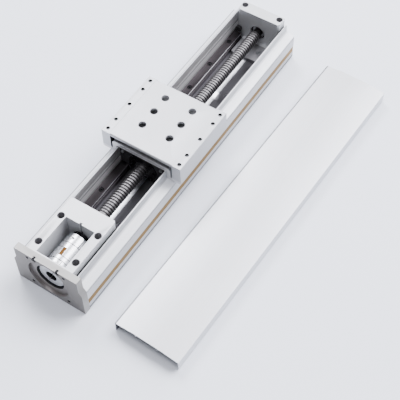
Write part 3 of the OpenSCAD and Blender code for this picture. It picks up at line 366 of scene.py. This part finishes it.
def screw_tree():
    """Geometry Nodes tree that puts one socket head screw on every point, head up along the given turn."""
    tree = bpy.data.node_groups.new("socket_head_screws", "GeometryNodeTree")
    face = tree.interface
    face.new_socket("Seats", in_out="INPUT", socket_type="NodeSocketGeometry")
    for label in ("Head diameter", "Head height", "Key width", "Thread diameter", "Length"):
        face.new_socket(label, in_out="INPUT", socket_type="NodeSocketFloat")
    face.new_socket("Turn", in_out="INPUT", socket_type="NodeSocketVector")
    face.new_socket("Finish", in_out="INPUT", socket_type="NodeSocketMaterial")
    face.new_socket("Screws", in_out="OUTPUT", socket_type="NodeSocketGeometry")
    given = tree.nodes.new("NodeGroupInput").outputs
    width, height, length = given["Head diameter"], given["Head height"], given["Length"]
    radius = add(tree, "ShaderNodeMath", (width, 2.0), operation="DIVIDE")
    half = add(tree, "ShaderNodeMath", (height, 2.0), operation="DIVIDE")
    bevel = add(tree, "ShaderNodeMath", (width, BEVEL_SHARE), operation="MULTIPLY")
    head = add(tree, "GeometryNodeMeshCylinder",
               {"Vertices": 48, "Side Segments": 2, "Radius": radius, "Depth": height})
    where = add(tree, "GeometryNodeInputPosition")
    z = add(tree, "ShaderNodeSeparateXYZ", (where,), out="Z")

    # The cylinder's middle ring goes up to the foot of the bevel, and its top ring is drawn in
    level = add(tree, "ShaderNodeMath", (z,), operation="ABSOLUTE")
    quarter = add(tree, "ShaderNodeMath", (height, 0.25), operation="MULTIPLY")
    middle = add(tree, "FunctionNodeCompare", {"A": level, "B": quarter}, operation="LESS_THAN")
    lift = add(tree, "ShaderNodeMath", (half, bevel), operation="SUBTRACT")
    lifted = add(tree, "ShaderNodeCombineXYZ", {"Z": lift})
    head = add(tree, "GeometryNodeSetPosition", {"Geometry": head, "Selection": middle, "Offset": lifted})
    half_bevel = add(tree, "ShaderNodeMath", (bevel, 2.0), operation="DIVIDE")
    under_top = add(tree, "ShaderNodeMath", (half, half_bevel), operation="SUBTRACT")
    top = add(tree, "FunctionNodeCompare", {"A": z, "B": under_top}, operation="GREATER_THAN")
    share = add(tree, "ShaderNodeMath", (bevel, radius), operation="DIVIDE")
    left = add(tree, "ShaderNodeMath", (1.0, share), operation="SUBTRACT")
    inwards = add(tree, "ShaderNodeCombineXYZ", (left, left, 1.0))
    drawn = add(tree, "ShaderNodeVectorMath", (where, inwards), operation="MULTIPLY")
    head = add(tree, "GeometryNodeSetPosition", {"Geometry": head, "Selection": top, "Position": drawn})

    # Every other point of the rim is pressed in a little, which makes the knurl
    odd = add(tree, "ShaderNodeMath", (add(tree, "GeometryNodeInputIndex"), 2.0), operation="MODULO")
    press = add(tree, "ShaderNodeMath", (odd, KNURL_SHARE), operation="MULTIPLY")
    left = add(tree, "ShaderNodeMath", (1.0, press), operation="SUBTRACT")
    inwards = add(tree, "ShaderNodeCombineXYZ", (left, left, 1.0))
    pressed = add(tree, "ShaderNodeVectorMath", (where, inwards), operation="MULTIPLY")
    rim = add(tree, "FunctionNodeBooleanMath", (top,), operation="NOT")
    head = add(tree, "GeometryNodeSetPosition", {"Geometry": head, "Selection": rim, "Position": pressed})

    # A hexagonal bar is cut out of the head for the key
    corner = add(tree, "ShaderNodeMath", (given["Key width"], HEX_CORNER), operation="MULTIPLY")
    key = add(tree, "GeometryNodeMeshCylinder", {"Vertices": 6, "Radius": corner, "Depth": height})
    lift = add(tree, "ShaderNodeMath", (height, KEY_LIFT), operation="MULTIPLY")
    lifted = add(tree, "ShaderNodeCombineXYZ", {"Z": lift})
    key = add(tree, "GeometryNodeTransform", {"Geometry": key, "Translation": lifted})
    head = add(tree, "GeometryNodeMeshBoolean", {"Mesh 1": head, "Mesh 2": key}, operation="DIFFERENCE",
               solver="EXACT")
    lifted = add(tree, "ShaderNodeCombineXYZ", {"Z": half})
    head = add(tree, "GeometryNodeTransform", {"Geometry": head, "Translation": lifted})

    shank_radius = add(tree, "ShaderNodeMath", (given["Thread diameter"], SHANK_SHARE), operation="MULTIPLY")
    shank = add(tree, "GeometryNodeMeshCylinder", {"Vertices": 20, "Radius": shank_radius, "Depth": length})
    sink = add(tree, "ShaderNodeMath", (length, -0.5), operation="MULTIPLY")
    sunk = add(tree, "ShaderNodeCombineXYZ", {"Z": sink})
    shank = add(tree, "GeometryNodeTransform", {"Geometry": shank, "Translation": sunk})
    whole = tree.nodes.new("GeometryNodeJoinGeometry")
    for part in (shank, head):
        tree.links.new(part, whole.inputs[0])

    # Each screw is turned by an angle of its own; inputs 2 and 3 are the least and the most
    twist = add(tree, "FunctionNodeRandomValue", {2: 0.0, 3: SIXTH_TURN, "Seed": 7}, out=1, data_type="FLOAT")
    aimed = add(tree, "FunctionNodeRotateEuler",
                {"Rotation": given["Turn"], "Angle": twist, "Axis": (0.0, 0.0, 1.0)},
                rotation_type="AXIS_ANGLE", space="LOCAL")
    placed = add(tree, "GeometryNodeInstanceOnPoints",
                 {"Points": given["Seats"], "Instance": whole.outputs[0], "Rotation": aimed})
    real = add(tree, "GeometryNodeRealizeInstances", {"Geometry": placed})
    made = add(tree, "GeometryNodeSetMaterial", {"Geometry": real, "Material": given["Finish"]})
    add(tree, "NodeGroupOutput", {"Screws": made})
    return tree


def grown(name, mesh, tree, values, body):
    """Runs a Geometry Nodes tree on a mesh and keeps the result as a plain mesh piece."""
    seed = bpy.data.objects.new(name + "_seats", mesh)
    bpy.context.scene.collection.objects.link(seed)
    growth = seed.modifiers.new("growth", "NODES")
    growth.node_group = tree
    for item in tree.interface.items_tree:
        if item.item_type == "SOCKET" and item.in_out == "INPUT" and item.name in values:
            growth[item.identifier] = values[item.name]
    bpy.context.view_layer.update()
    graph = bpy.context.evaluated_depsgraph_get()
    result = bpy.data.meshes.new_from_object(seed.evaluated_get(graph), depsgraph=graph)
    result.name = name
    bpy.data.objects.remove(seed)
    piece = bpy.data.objects.new(name, result)
    bpy.context.scene.collection.objects.link(piece)
    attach(piece, body)
    return piece


# Black oxide is nearly black, and zinc is a cool grey metal with a faint crystalline cloud
black_oxide = speckled("black_oxide_steel", "#0e0e10", "#232326", 900.0, 3.0, rough=(0.32, 0.5), Metallic=0.8)
zinc = speckled("bright_zinc_plate", "#a3a5a8", "#c9cbce", 700.0, 3.0, rough=(0.26, 0.42), Metallic=1.0)
screws = screw_tree()

M3 = {"Head diameter": 0.0055, "Head height": 0.003, "Key width": 0.0025, "Thread diameter": 0.003}
M4 = {"Head diameter": 0.007, "Head height": 0.004, "Key width": 0.003, "Thread diameter": 0.004}
M5 = {"Head diameter": 0.0085, "Head height": 0.005, "Key width": 0.004, "Thread diameter": 0.005}
M6 = {"Head diameter": 0.010, "Head height": 0.006, "Key width": 0.005, "Thread diameter": 0.006}
M4_LOW = dict(M4, **{"Head height": 0.0024})
M5_LOW = dict(M5, **{"Head height": 0.003})


def screw_set(node, size, material, axis=(0, 0, 1), chosen=lambda low, high: True, label=""):
    """Puts screws where the CAD node has them; axis is the way that the heads point."""
    way = Vector(axis)
    i = max(range(3), key=lambda k: abs(axis[k]))
    seats, length = [], 0
    for low, high in solids_of(node):
        if not chosen(low, high):
            continue
        seat = (low + high) / 2
        seat[i] = high[i] - size["Head height"] if axis[i] > 0 else low[i] + size["Head height"]
        seats.append(seat)
        length = high[i] - low[i] - size["Head height"]
    mesh = bpy.data.meshes.new(node)
    mesh.from_pydata(seats, [], [])
    turn = way.to_track_quat("Z", "Y").to_euler()
    values = dict(size, Length=length, Turn=tuple(turn), Finish=material)
    piece = grown(node + "_socket" + label, mesh, screws, values, nodes[node]["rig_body"])
    piece.data.shade_smooth()
    piece.data.set_sharp_from_angle(angle=math.radians(32))
    return piece


def round_seats(node, radius, axis=2):
    """Chooses the walls of the round seats that the screws of a node stand in."""
    centres = [(low + high) / 2 for low, high in solids_of(node)]
    flat = [i for i in range(3) if i != axis]

    def chosen(c, n):
        if abs(n[axis]) > 0.3:
            return False
        return any(math.hypot(c[flat[0]] - q[flat[0]], c[flat[1]] - q[flat[1]]) < radius for q in centres)
    return chosen


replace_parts(screw_set("rail_screws", M4, black_oxide), "rail_screws")
# The walls of the rails' screw seats are painted nearly black as shade
for rail in rails:
    lined(rail, deep_painted_shade, round_seats("rail_screws", 0.0046))


# ---- Far block ----
# The block at the far end is machined from aluminium and anodised. It carries the screw's far bearing and
# stands on a foot plate that reaches forward between the rails. Each of them is held by two socket screws.

# Machined and anodised: satin with very fine cutter marks
def machined_aluminium(name, light, dark, roughness=0.44):
    return worked_metal(name, light, dark, marks=(0.012, 0.0007), cloud=(30.0, 3.0), contrast=1.6,
                        rough=(roughness - 0.06, roughness + 0.08), bump=(0.00008, 0.3), metallic=0.55)


block_finish = machined_aluminium("machined_anodised_block", "#d5d6d8", "#bebfc2")
far_block = eased("far_block", 0.0004, block_finish)
# Painted shade: the walls of the screw seats in both blocks are a darker grey
seat_shade = machined_aluminium("painted_shade_screw_seat", "#a5a4a7", "#949396", roughness=0.5)
# Painted shade: the sides of both blocks are nearly black below 64.5 mm
block_side = machined_aluminium("painted_shade_block_side", "#d5d6d8", "#bebfc2")
coloured_beyond(block_side, DOWN, -0.0645, "#1b1b1d")
BLOCK_SIDE = 0.0385


def against_wall(c, n):
    """True on the sides of a block, whose lower part stands in the channel and is painted nearly black as
    shade.
    """
    return abs(n.y) > 0.9 and abs(c.y) > BLOCK_SIDE


lined(far_block, block_side, against_wall)
lined(far_block, seat_shade, round_seats("far_block_screws", 0.0057))
eased("foot_plate", 0.0003, machined_aluminium("hard_anodised_foot", "#9f9ea1", "#8e8d90"))
eased("bearing_cover", 0.0004, block_finish)
BLOCK_SCREW_RISE = 0.014
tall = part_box("far_block")[0].z + BLOCK_SCREW_RISE
screw_high = screw_set("far_block_screws", M6, zinc, chosen=lambda low, high: high.z > tall)
screw_low = screw_set("far_block_screws", M5_LOW, zinc, chosen=lambda low, high: high.z <= tall,
                      label="_foot")
for piece in (screw_high, screw_low):
    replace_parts(piece, "far_block_screws")
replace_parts(screw_set("bearing_cover_screws", M4_LOW, zinc, axis=(1, 0, 0)), "bearing_cover_screws")


# ---- Bumpers ----
# Round rubber bumpers stop the slider at both ends of its travel.
# They are moulded: black, dull and slightly grainy.

rubber = speckled("black_rubber", "#121213", "#232325", 1500.0, rough=(0.6, 0.85), bump=(0.0001, 0.3),
                  Metallic=0.0)
eased("end_bumpers", 0.0008, rubber)


# ---- Drive block and flange ----
# The drive block holds the fixed bearings and has a deep pocket for the coupling. The flange is a separate
# anodised plate that the motor bolts to, with a stepped opening and four tapped holes.

AXIS_Z = 0.042
MOTOR_HALF_SQUARE, MOTOR_HOLE_R = 0.03182, 0.0028
PILOT_R, PORT_R = 0.0351, 0.0240
behind_face = cad_low.x + 0.0008


def tapped_for_motor(c, n):
    """True in the tapped holes for the motor, which lie on a square about the axis."""
    off = math.hypot(abs(c.y) - MOTOR_HALF_SQUARE, abs(c.z - AXIS_Z) - MOTOR_HALF_SQUARE)
    return off < MOTOR_HOLE_R and c.x > behind_face


def from_axis(c):
    return math.hypot(c.y, c.z - AXIS_Z)


block = eased("drive_block", 0.0004, block_finish)
# Painted shade as on the far block, and the tapped holes for the motor are painted nearly black
lined(block, block_side, against_wall)
lined(block, seat_shade, round_seats("drive_block_screws", 0.0066))
lined(block, deep_painted_shade, tapped_for_motor)
# Painted shade: the flange's front face is darker than its other faces; its tapped holes and port are black
flange_finish = machined_aluminium("machined_anodised_flange", "#a3a19f", "#908e8c", roughness=0.42)
flange_face = machined_aluminium("painted_shade_flange_face", "#827e7b", "#716e6b", roughness=0.5)
turned_recess = machined_aluminium("turned_recess", "#8f8a88", "#7a7573", roughness=0.4)
flange = eased("motor_flange", 0.0004, flange_finish)
lined(flange, flange_face, lambda c, n: n.x < -0.9)
lined(flange, deep_painted_shade, tapped_for_motor)
lined(flange, turned_recess, lambda c, n: from_axis(c) < PILOT_R and c.x > behind_face)
lined(flange, deep_painted_shade, lambda c, n: from_axis(c) < PORT_R and abs(n.x) < 0.5)
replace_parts(screw_set("drive_block_screws", M6, black_oxide), "drive_block_screws")
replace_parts(screw_set("flange_screws", M4, black_oxide, axis=(-1, 0, 0)), "flange_screws")


# ---- Bearings ----
# Rings of ground bearing steel with polished balls between them, and the balls that guide the slider.
# A slotted ring, a lock nut and a circlip, all black, hold the bearings.

bearing_steel = ground_steel("ground_bearing_steel", "#c3c4c6", "#9b9c9f", roughness=0.24)
ball_steel = ground_steel("polished_ball_steel", "#d4d5d7", "#bcbdc0", roughness=0.12)
for ring in ("drive_bearing_outer_rings", "drive_bearing_inner_rings", "far_bearing_outer_ring",
             "far_bearing_inner_ring", "bearing_spacer"):
    dress(ring, bearing_steel)
for balls in ("drive_bearing_balls", "far_bearing_balls", "guide_balls"):
    dress(balls, ball_steel)
for part in ("bearing_retainer", "lock_nut", "circlip"):
    dress(part, black_oxide)


# ---- Ball screw ----
# A 20 mm steel screw with a rolled ball thread of 5 mm lead. The round groove is painted darker than the
# lands, as painted shade, and the journals at its ends are ground to 15 and 12 mm.

SCREW_R, LEAD, LAND, GROOVE_DEPTH, JOURNAL_R, END_R = 0.0100, 0.005, 0.0021, 0.00125, 0.0075, 0.006
THREAD_OVERRUN, JOURNAL_SINK = 0.001, 0.0001


def thread_tree():
    """Geometry Nodes tree of the thread: a grid of turns by profile, rolled up into a helix."""
    tree = bpy.data.node_groups.new("rolled_ball_thread", "GeometryNodeTree")
    face = tree.interface
    face.new_socket("Start", in_out="INPUT", socket_type="NodeSocketGeometry")
    for label in ("Radius", "Lead", "Land", "Groove depth", "Journal radius", "From", "To", "Axis height"):
        face.new_socket(label, in_out="INPUT", socket_type="NodeSocketFloat")
    face.new_socket("Steps a turn", in_out="INPUT", socket_type="NodeSocketInt")
    face.new_socket("Finish", in_out="INPUT", socket_type="NodeSocketMaterial")
    face.new_socket("Thread", in_out="OUTPUT", socket_type="NodeSocketGeometry")
    given = tree.nodes.new("NodeGroupInput").outputs
    lead, start, end = given["Lead"], given["From"], given["To"]
    run = add(tree, "ShaderNodeMath", (end, start), operation="SUBTRACT")
    leads = add(tree, "ShaderNodeMath", (run, lead), operation="DIVIDE")
    turns = add(tree, "ShaderNodeMath", (leads, 2.0), operation="ADD")
    steps = add(tree, "ShaderNodeMath", (turns, given["Steps a turn"]), operation="MULTIPLY")
    columns = add(tree, "ShaderNodeMath", (steps, 1.0), operation="ADD")
    grid = add(tree, "GeometryNodeMeshGrid",
               {"Size X": 1.0, "Size Y": 1.0, "Vertices X": columns, "Vertices Y": 9})
    where = add(tree, "GeometryNodeInputPosition")
    t = add(tree, "ShaderNodeSeparateXYZ", (where,), out="X")
    t = add(tree, "ShaderNodeMath", (t, 0.5), operation="ADD")
    turn = add(tree, "ShaderNodeMath", (t, turns), operation="MULTIPLY")
    u = add(tree, "ShaderNodeSeparateXYZ", (where,), out="Y")
    u = add(tree, "ShaderNodeMath", (u, 0.5), operation="ADD")

    # The first quarter of the profile is the land, and the rest is the groove
    land = add(tree, "ShaderNodeMath", (given["Land"], 4.0), operation="MULTIPLY")
    flat = add(tree, "ShaderNodeMath", (u, 0.25), operation="MINIMUM")
    on_land = add(tree, "ShaderNodeMath", (flat, land), operation="MULTIPLY")
    groove = add(tree, "ShaderNodeMath", (lead, given["Land"]), operation="SUBTRACT")
    past = add(tree, "ShaderNodeMath", (u, 0.25), operation="SUBTRACT")
    past = add(tree, "ShaderNodeMath", (past, 0.0), operation="MAXIMUM")
    past = add(tree, "ShaderNodeMath", (past, 0.75), operation="DIVIDE")
    on_groove = add(tree, "ShaderNodeMath", (past, groove), operation="MULTIPLY")
    along = add(tree, "ShaderNodeMath", (on_land, on_groove), operation="ADD")
    led = add(tree, "ShaderNodeMath", (turn, 1.0), operation="SUBTRACT")
    led = add(tree, "ShaderNodeMath", (led, lead), operation="MULTIPLY")
    x = add(tree, "ShaderNodeMath", (start, led), operation="ADD")
    x = add(tree, "ShaderNodeMath", (x, along), operation="ADD")
    bow = add(tree, "ShaderNodeMath", (past, math.pi), operation="MULTIPLY")
    bow = add(tree, "ShaderNodeMath", (bow,), operation="SINE")
    dip = add(tree, "ShaderNodeMath", (bow, given["Groove depth"]), operation="MULTIPLY")
    r = add(tree, "ShaderNodeMath", (given["Radius"], dip), operation="SUBTRACT")

    # At both ends the thread tapers down to just inside the journal
    inside = add(tree, "ShaderNodeMath", (given["Journal radius"], JOURNAL_SINK), operation="SUBTRACT")
    for gone in ((x, start), (end, x)):
        rise = add(tree, "ShaderNodeMath", gone, operation="SUBTRACT")
        rise = add(tree, "ShaderNodeMath", (rise, 0.0), operation="MAXIMUM")
        most = add(tree, "ShaderNodeMath", (inside, rise), operation="ADD")
        r = add(tree, "ShaderNodeMath", (r, most), operation="MINIMUM")

    # A right-hand thread runs on as it turns clockwise seen from its start
    angle = add(tree, "ShaderNodeMath", (turn, 2 * math.pi), operation="MULTIPLY")
    sine = add(tree, "ShaderNodeMath", (angle,), operation="SINE")
    cosine = add(tree, "ShaderNodeMath", (angle,), operation="COSINE")
    back = add(tree, "ShaderNodeMath", (r, -1.0), operation="MULTIPLY")
    y = add(tree, "ShaderNodeMath", (sine, back), operation="MULTIPLY")
    z = add(tree, "ShaderNodeMath", (cosine, r), operation="MULTIPLY")
    z = add(tree, "ShaderNodeMath", (z, given["Axis height"]), operation="ADD")
    first = add(tree, "ShaderNodeMath", (start, THREAD_OVERRUN), operation="SUBTRACT")
    last = add(tree, "ShaderNodeMath", (end, THREAD_OVERRUN), operation="ADD")
    x = add(tree, "ShaderNodeMath", (x, first), operation="MAXIMUM")
    x = add(tree, "ShaderNodeMath", (x, last), operation="MINIMUM")
    place = add(tree, "ShaderNodeCombineXYZ", (x, y, z))
    rolled = add(tree, "GeometryNodeSetPosition", {"Geometry": grid, "Position": place})
    real = add(tree, "GeometryNodeRealizeInstances", {"Geometry": rolled})
    made = add(tree, "GeometryNodeSetMaterial", {"Geometry": real, "Material": given["Finish"]})
    add(tree, "NodeGroupOutput", {"Thread": made})
    return tree


# Painted shade on rolled steel: the lands are lighter than the groove, by their distance from the screw's
# axis
def rolled_steel_painted_groove():
    m, tree, skin, place = finish("rolled_steel_painted_groove", Metallic=1.0)
    centred = add(tree, "ShaderNodeVectorMath", (place, (0, 0, -AXIS_Z)), operation="ADD")
    radial = add(tree, "ShaderNodeVectorMath", (centred, (0, 1, 1)), operation="MULTIPLY")
    distance = add(tree, "ShaderNodeVectorMath", (radial,), out="Value", operation="LENGTH")
    height = add(tree, "ShaderNodeMapRange",
                 {"Value": distance, "From Min": SCREW_R - GROOVE_DEPTH, "From Max": SCREW_R})
    cloud = add(tree, "ShaderNodeTexNoise", {"Vector": place, "Scale": 260.0, "Detail": 3.0}, out="Fac")
    stir = add(tree, "ShaderNodeMapRange", {"Value": cloud, "To Min": -0.15, "To Max": 0.15})
    level = add(tree, "ShaderNodeMath", (height, stir), operation="ADD")
    patterned(tree, skin, (level, "#413f40", "#757374"), (cloud, 0.4, 0.55))
    return m


screw_steel = rolled_steel_painted_groove()
screw_low_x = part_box("ball_screw")[0].x
screw_high_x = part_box("ball_screw")[1].x
shoulder_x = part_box("drive_bearing_inner_rings")[1].x
inner_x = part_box("lock_nut")[0].x
# The thread starts 4 mm beyond the drive block and ends 25 mm before the far block's outer end
thread_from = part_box("drive_block")[1].x + 0.004
thread_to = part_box("far_block")[1].x - 0.025


def turned(name, stations, sides, material, body):
    """A bar turned on the lathe: stations are (x, radius) from end to end, closed at both ends."""
    mesh = bpy.data.meshes.new(name)
    work = bmesh.new()
    rings = []
    angles = [2 * math.pi * k / sides for k in range(sides)]
    for x, r in stations:
        rings.append([work.verts.new((x, r * math.sin(a), AXIS_Z + r * math.cos(a))) for a in angles])
    for a, b in zip(rings, rings[1:]):
        for k in range(sides):
            work.faces.new((a[k], a[(k + 1) % sides], b[(k + 1) % sides], b[k]))
    work.faces.new(rings[0])
    work.faces.new(rings[-1])
    bmesh.ops.recalc_face_normals(work, faces=work.faces)
    work.to_mesh(mesh)
    work.free()
    mesh.materials.append(material)
    mesh.shade_smooth()
    mesh.set_sharp_from_angle(angle=math.radians(30))
    piece = bpy.data.objects.new(name, mesh)
    bpy.context.scene.collection.objects.link(piece)
    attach(piece, body)
    return piece


CHAMFER, TUCK, SHOULDER_R, ROOT_R = 0.0006, 0.002, 0.0095, 0.0084
journals = turned("screw_journals", [
    (screw_low_x, END_R - CHAMFER), (screw_low_x + CHAMFER, END_R), (inner_x, END_R),
    (inner_x, JOURNAL_R), (shoulder_x, JOURNAL_R), (shoulder_x, SHOULDER_R), (thread_from + TUCK, SHOULDER_R),
    (thread_from + TUCK, ROOT_R), (thread_to - TUCK, ROOT_R), (thread_to - TUCK, JOURNAL_R),
    (screw_high_x - CHAMFER, JOURNAL_R), (screw_high_x, JOURNAL_R - CHAMFER)], 48, screw_steel, "screw")
empty = bpy.data.meshes.new("thread_start")
empty.from_pydata([(0, 0, 0)], [], [])
rolled = {
    "Radius": SCREW_R, "Lead": LEAD, "Land": LAND, "Groove depth": GROOVE_DEPTH, "Journal radius": JOURNAL_R,
    "From": thread_from, "To": thread_to, "Axis height": AXIS_Z, "Steps a turn": 24, "Finish": screw_steel}
thread = grown("screw_thread", empty, thread_tree(), rolled, "screw")
thread.data.shade_smooth()
thread.data.set_sharp_from_angle(angle=math.radians(50))
for piece in (journals, thread):
    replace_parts(piece, "ball_screw")


# ---- Coupling ----
# Two turned aluminium clamp hubs with jaws, and a brown elastomer spider between them.
# The bores, slits and jaw gaps of the hubs are painted nearly black as shade.

# Turned aluminium: bright, with fine rings round the axis
def turned_aluminium():
    m, tree, skin, place = finish("turned_aluminium", Metallic=1.0)
    rings = add(tree, "ShaderNodeMapping", {"Vector": place, "Scale": (2600.0, 30.0, 30.0)})
    feed = add(tree, "ShaderNodeTexNoise", {"Vector": rings, "Scale": 1.0, "Detail": 2.0}, out="Fac")
    patterned(tree, skin, (feed, "#d2d3d6", "#e9eaec"), (feed, 0.24, 0.32), (feed, 0.00002, 0.15))
    return m


# Cast elastomer: dull and faintly mottled
elastomer = speckled("cast_elastomer", "#593711", "#6c4a20", 240.0, 3.0, bump=(0.0001, 0.2),
                     Metallic=0.0, Roughness=0.7, Specular_IOR_Level=0.15)
hub_finish = turned_aluminium()
HUB_BORE_R, HUB_END = 0.0105, 0.001


def in_gap(node):
    """Chooses the faces of a hub that lie in its bore, slits and jaw gaps."""
    low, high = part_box(node)

    def chosen(c, n):
        out = Vector((0, c.y, c.z - AXIS_Z))
        in_bore = out.length < HUB_BORE_R and abs(n.x) < 0.5
        faces_round = abs(n.x) < 0.3 and out.length > HUB_END and abs(n.dot(out.normalized())) < 0.35
        in_jaws = abs(n.x) > 0.8 and low.x + HUB_END < c.x < high.x - HUB_END
        return in_bore or faces_round or in_jaws
    return chosen


for side in ("motor_side_hub", "screw_side_hub"):
    hub = eased(side, 0.0004, hub_finish)
    lined(hub, deep_painted_shade, in_gap(side))
eased("coupling_spider", 0.0006, elastomer)
dress("hub_clamp_screws", black_oxide)


# ---- Slider and ball nut ----
# A hardened steel block runs on the rails and carries the flanged ball nut; black moulded end caps turn the
# balls round, and the front one is split round the nut's flange.

# Moulded plastic: satin and finely grained
black_plastic = speckled("moulded_black_plastic", "#1b1b1d", "#29292c", 1300.0, rough=(0.4, 0.58),
                         bump=(0.0001, 0.3), Metallic=0.0)
# The slider is a mid grey, and the nut is much darker
slider_steel = ground_steel("ground_slider_steel", "#8f8d8f", "#6a686b")
eased("slider_block", 0.0004, slider_steel)
nut_steel = ground_steel("blackened_nut_steel", "#4a484b", "#242326", roughness=0.26)
eased("ball_nut", 0.0008, nut_steel)
for cap in ("front_end_caps", "rear_end_cap"):
    eased(cap, 0.0008, black_plastic)
dress("nut_wipers", black_plastic)
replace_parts(screw_set("nut_screws", M4, black_oxide, axis=(-1, 0, 0)), "nut_screws")
middle_x = (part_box("slider_block")[0].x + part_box("slider_block")[1].x) / 2
cap_front = screw_set("end_cap_screws", M3, zinc, axis=(-1, 0, 0), chosen=lambda low, high: high.x < middle_x)
cap_back = screw_set("end_cap_screws", M3, zinc, axis=(1, 0, 0), chosen=lambda low, high: low.x > middle_x,
                     label="_back")
for piece in (cap_front, cap_back):
    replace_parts(piece, "end_cap_screws")


# ---- Saddle and table ----
# The saddle reaches over the lips and carries the table. Both are milled from aluminium plate and clear
# anodised, and ten small socket screws hold the table's legs on the saddle's feet. The table's underside
# and the inner faces of its legs lie in deep shade and are painted nearly black, as are its screw seats.

WEB_TOP, TABLE_UNDER, LEG_INSIDE, LEG_TOP = 0.0765, 0.075, 0.058, 0.080


def under_table(c, n):
    """True on the table's underside and on the inner faces of its legs."""
    if n.z < -0.9:
        return c.z > TABLE_UNDER
    return abs(n.y) > 0.9 and abs(c.y) < LEG_INSIDE and c.z < LEG_TOP


table_finish = machined_aluminium("milled_anodised_table", "#c8c9cc", "#b7b8bc")
# Painted shade: the saddle's top under the table is a darker grey. Painted light: its ends are lighter
saddle_top = machined_aluminium("painted_shade_saddle_top", "#a1a1a4", "#8f8f92", roughness=0.6)
saddle_front = machined_aluminium("painted_light_saddle_end", "#dcdcde", "#cfcfd1")
saddle = eased("saddle", 0.0004, table_finish)
lined(saddle, saddle_top, lambda c, n: n.z > 0.9 and c.z > WEB_TOP)
lined(saddle, saddle_front, lambda c, n: abs(n.x) > 0.9)
table = eased("table", 0.0005, table_finish)
lined(table, deep_painted_shade, round_seats("table_screws", 0.0034))
lined(table, deep_painted_shade, under_table)
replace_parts(screw_set("table_screws", M3, zinc), "table_screws")
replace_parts(screw_set("saddle_screws", M5, black_oxide), "saddle_screws")


# ---- Top cover ----
# A thin aluminium extrusion that closes the trough; here it lies on the floor beside the module. Its inside
# is painted nearly black as shade, and its left edge has a darker line of painted shade.

END_REACH, EDGE_LINE = 0.05, 0.0023


def cover_edge():
    """The way out to the cover's left edge, and how far out that edge lies."""
    corners = [v.co for v in nodes["top_cover"].data.vertices]
    near = max((q for q in corners if q.x < cad_low.x + END_REACH), key=lambda q: q.y)
    far = max((q for q in corners if q.x > cad_high.x - END_REACH), key=lambda q: q.y)
    along = (far - near).normalized()
    outward = Vector((-along.y, along.x, 0)).normalized()
    return tuple(outward), near.dot(outward)


outward, edge = cover_edge()
cover_finish = extruded_aluminium("clear_anodised_cover", "#d9dadd", "#cccdd1", roughness=0.42)
# Painted shade: a dark line along the cover's left edge
coloured_beyond(cover_finish, outward, edge - EDGE_LINE, "#67696e")
cover_inside = extruded_aluminium("painted_shade_cover_inside", "#2f2f32", "#242427", roughness=0.6)
cover = eased("top_cover", 0.0003, cover_finish)
lined(cover, cover_inside, lambda c, n: n.z < -0.3)


# ---- Floor, light and camera ----
# A pale studio floor under four broad soft lights: three towards the far end, one of them low, and one
# overhead. The sky grows brighter towards the far end and upwards.

FLOOR_REACH, FLOOR_DROP = 6.0, 0.0002
LIGHT_COLOUR = "#f8f9ff"

paper = speckled("pale_studio_floor", "#ecf0fa", "#f0f3fb", 3.0, Metallic=0.0, Roughness=0.7)
floor_mesh = bpy.data.meshes.new("studio_floor")
corners = ((-1, -1), (1, -1), (1, 1), (-1, 1))
floor_corners = [(x * FLOOR_REACH, y * FLOOR_REACH, -FLOOR_DROP) for x, y in corners]
floor_mesh.from_pydata(floor_corners, [], [(0, 1, 2, 3)])
floor_mesh.materials.append(paper)
floor = bpy.data.objects.new("studio_floor", floor_mesh)
bpy.context.scene.collection.objects.link(floor)


def studio_sky(far_end, overhead, around):
    """A sky that grows brighter towards the far end and overhead."""
    sky = bpy.data.worlds.new("studio")
    sky.use_nodes = True
    tree = sky.node_tree
    way = add(tree, "ShaderNodeTexCoord", out="Generated")
    power = around
    for axis, strength in (("X", far_end), ("Z", overhead)):
        facing = add(tree, "ShaderNodeSeparateXYZ", (way,), out=axis)
        facing = add(tree, "ShaderNodeMath", (facing, 0.0), operation="MAXIMUM")
        facing = add(tree, "ShaderNodeMath", (facing, strength), operation="MULTIPLY")
        power = add(tree, "ShaderNodeMath", (facing, power), operation="ADD")
    tree.nodes["Background"].inputs["Color"].default_value = tone(LIGHT_COLOUR)
    tree.links.new(power, tree.nodes["Background"].inputs["Strength"])
    return sky


bpy.context.scene.world = studio_sky(far_end=2.3, overhead=0.3, around=0.22)


def soft_light(name, place, size, power):
    """A round area light that points at the origin; size in metres and power in watts."""
    lamp = bpy.data.lights.new(name, "AREA")
    lamp.shape = "DISK"
    lamp.size = size
    lamp.energy = power
    lamp.color = tone(LIGHT_COLOUR)[:3]
    holder = bpy.data.objects.new(name, lamp)
    holder.location = place
    holder.rotation_euler = (-Vector(place)).to_track_quat("-Z", "Y").to_euler()
    bpy.context.scene.collection.objects.link(holder)


soft_light("key", (3.3, -1.8, 4.6), size=4.4, power=670)
soft_light("left_far", (2.0, 2.8, 3.8), size=2.4, power=285)
soft_light("low_far", (4.8, 0.0, 1.8), size=2.4, power=115)
soft_light("overhead", (-1.0, 0.0, 5.2), size=2.2, power=130)

lens = bpy.data.cameras.new("camera")
lens.sensor_width = 36
lens.lens = 84.558
lens.clip_start, lens.clip_end = 0.05, 50
camera = bpy.data.objects.new("camera", lens)
camera.location = (-0.72922, -0.54607, 1.18843)
camera.rotation_euler = (0.606913, 0.008303, -0.996278)
bpy.context.scene.collection.objects.link(camera)
bpy.context.scene.camera = camera
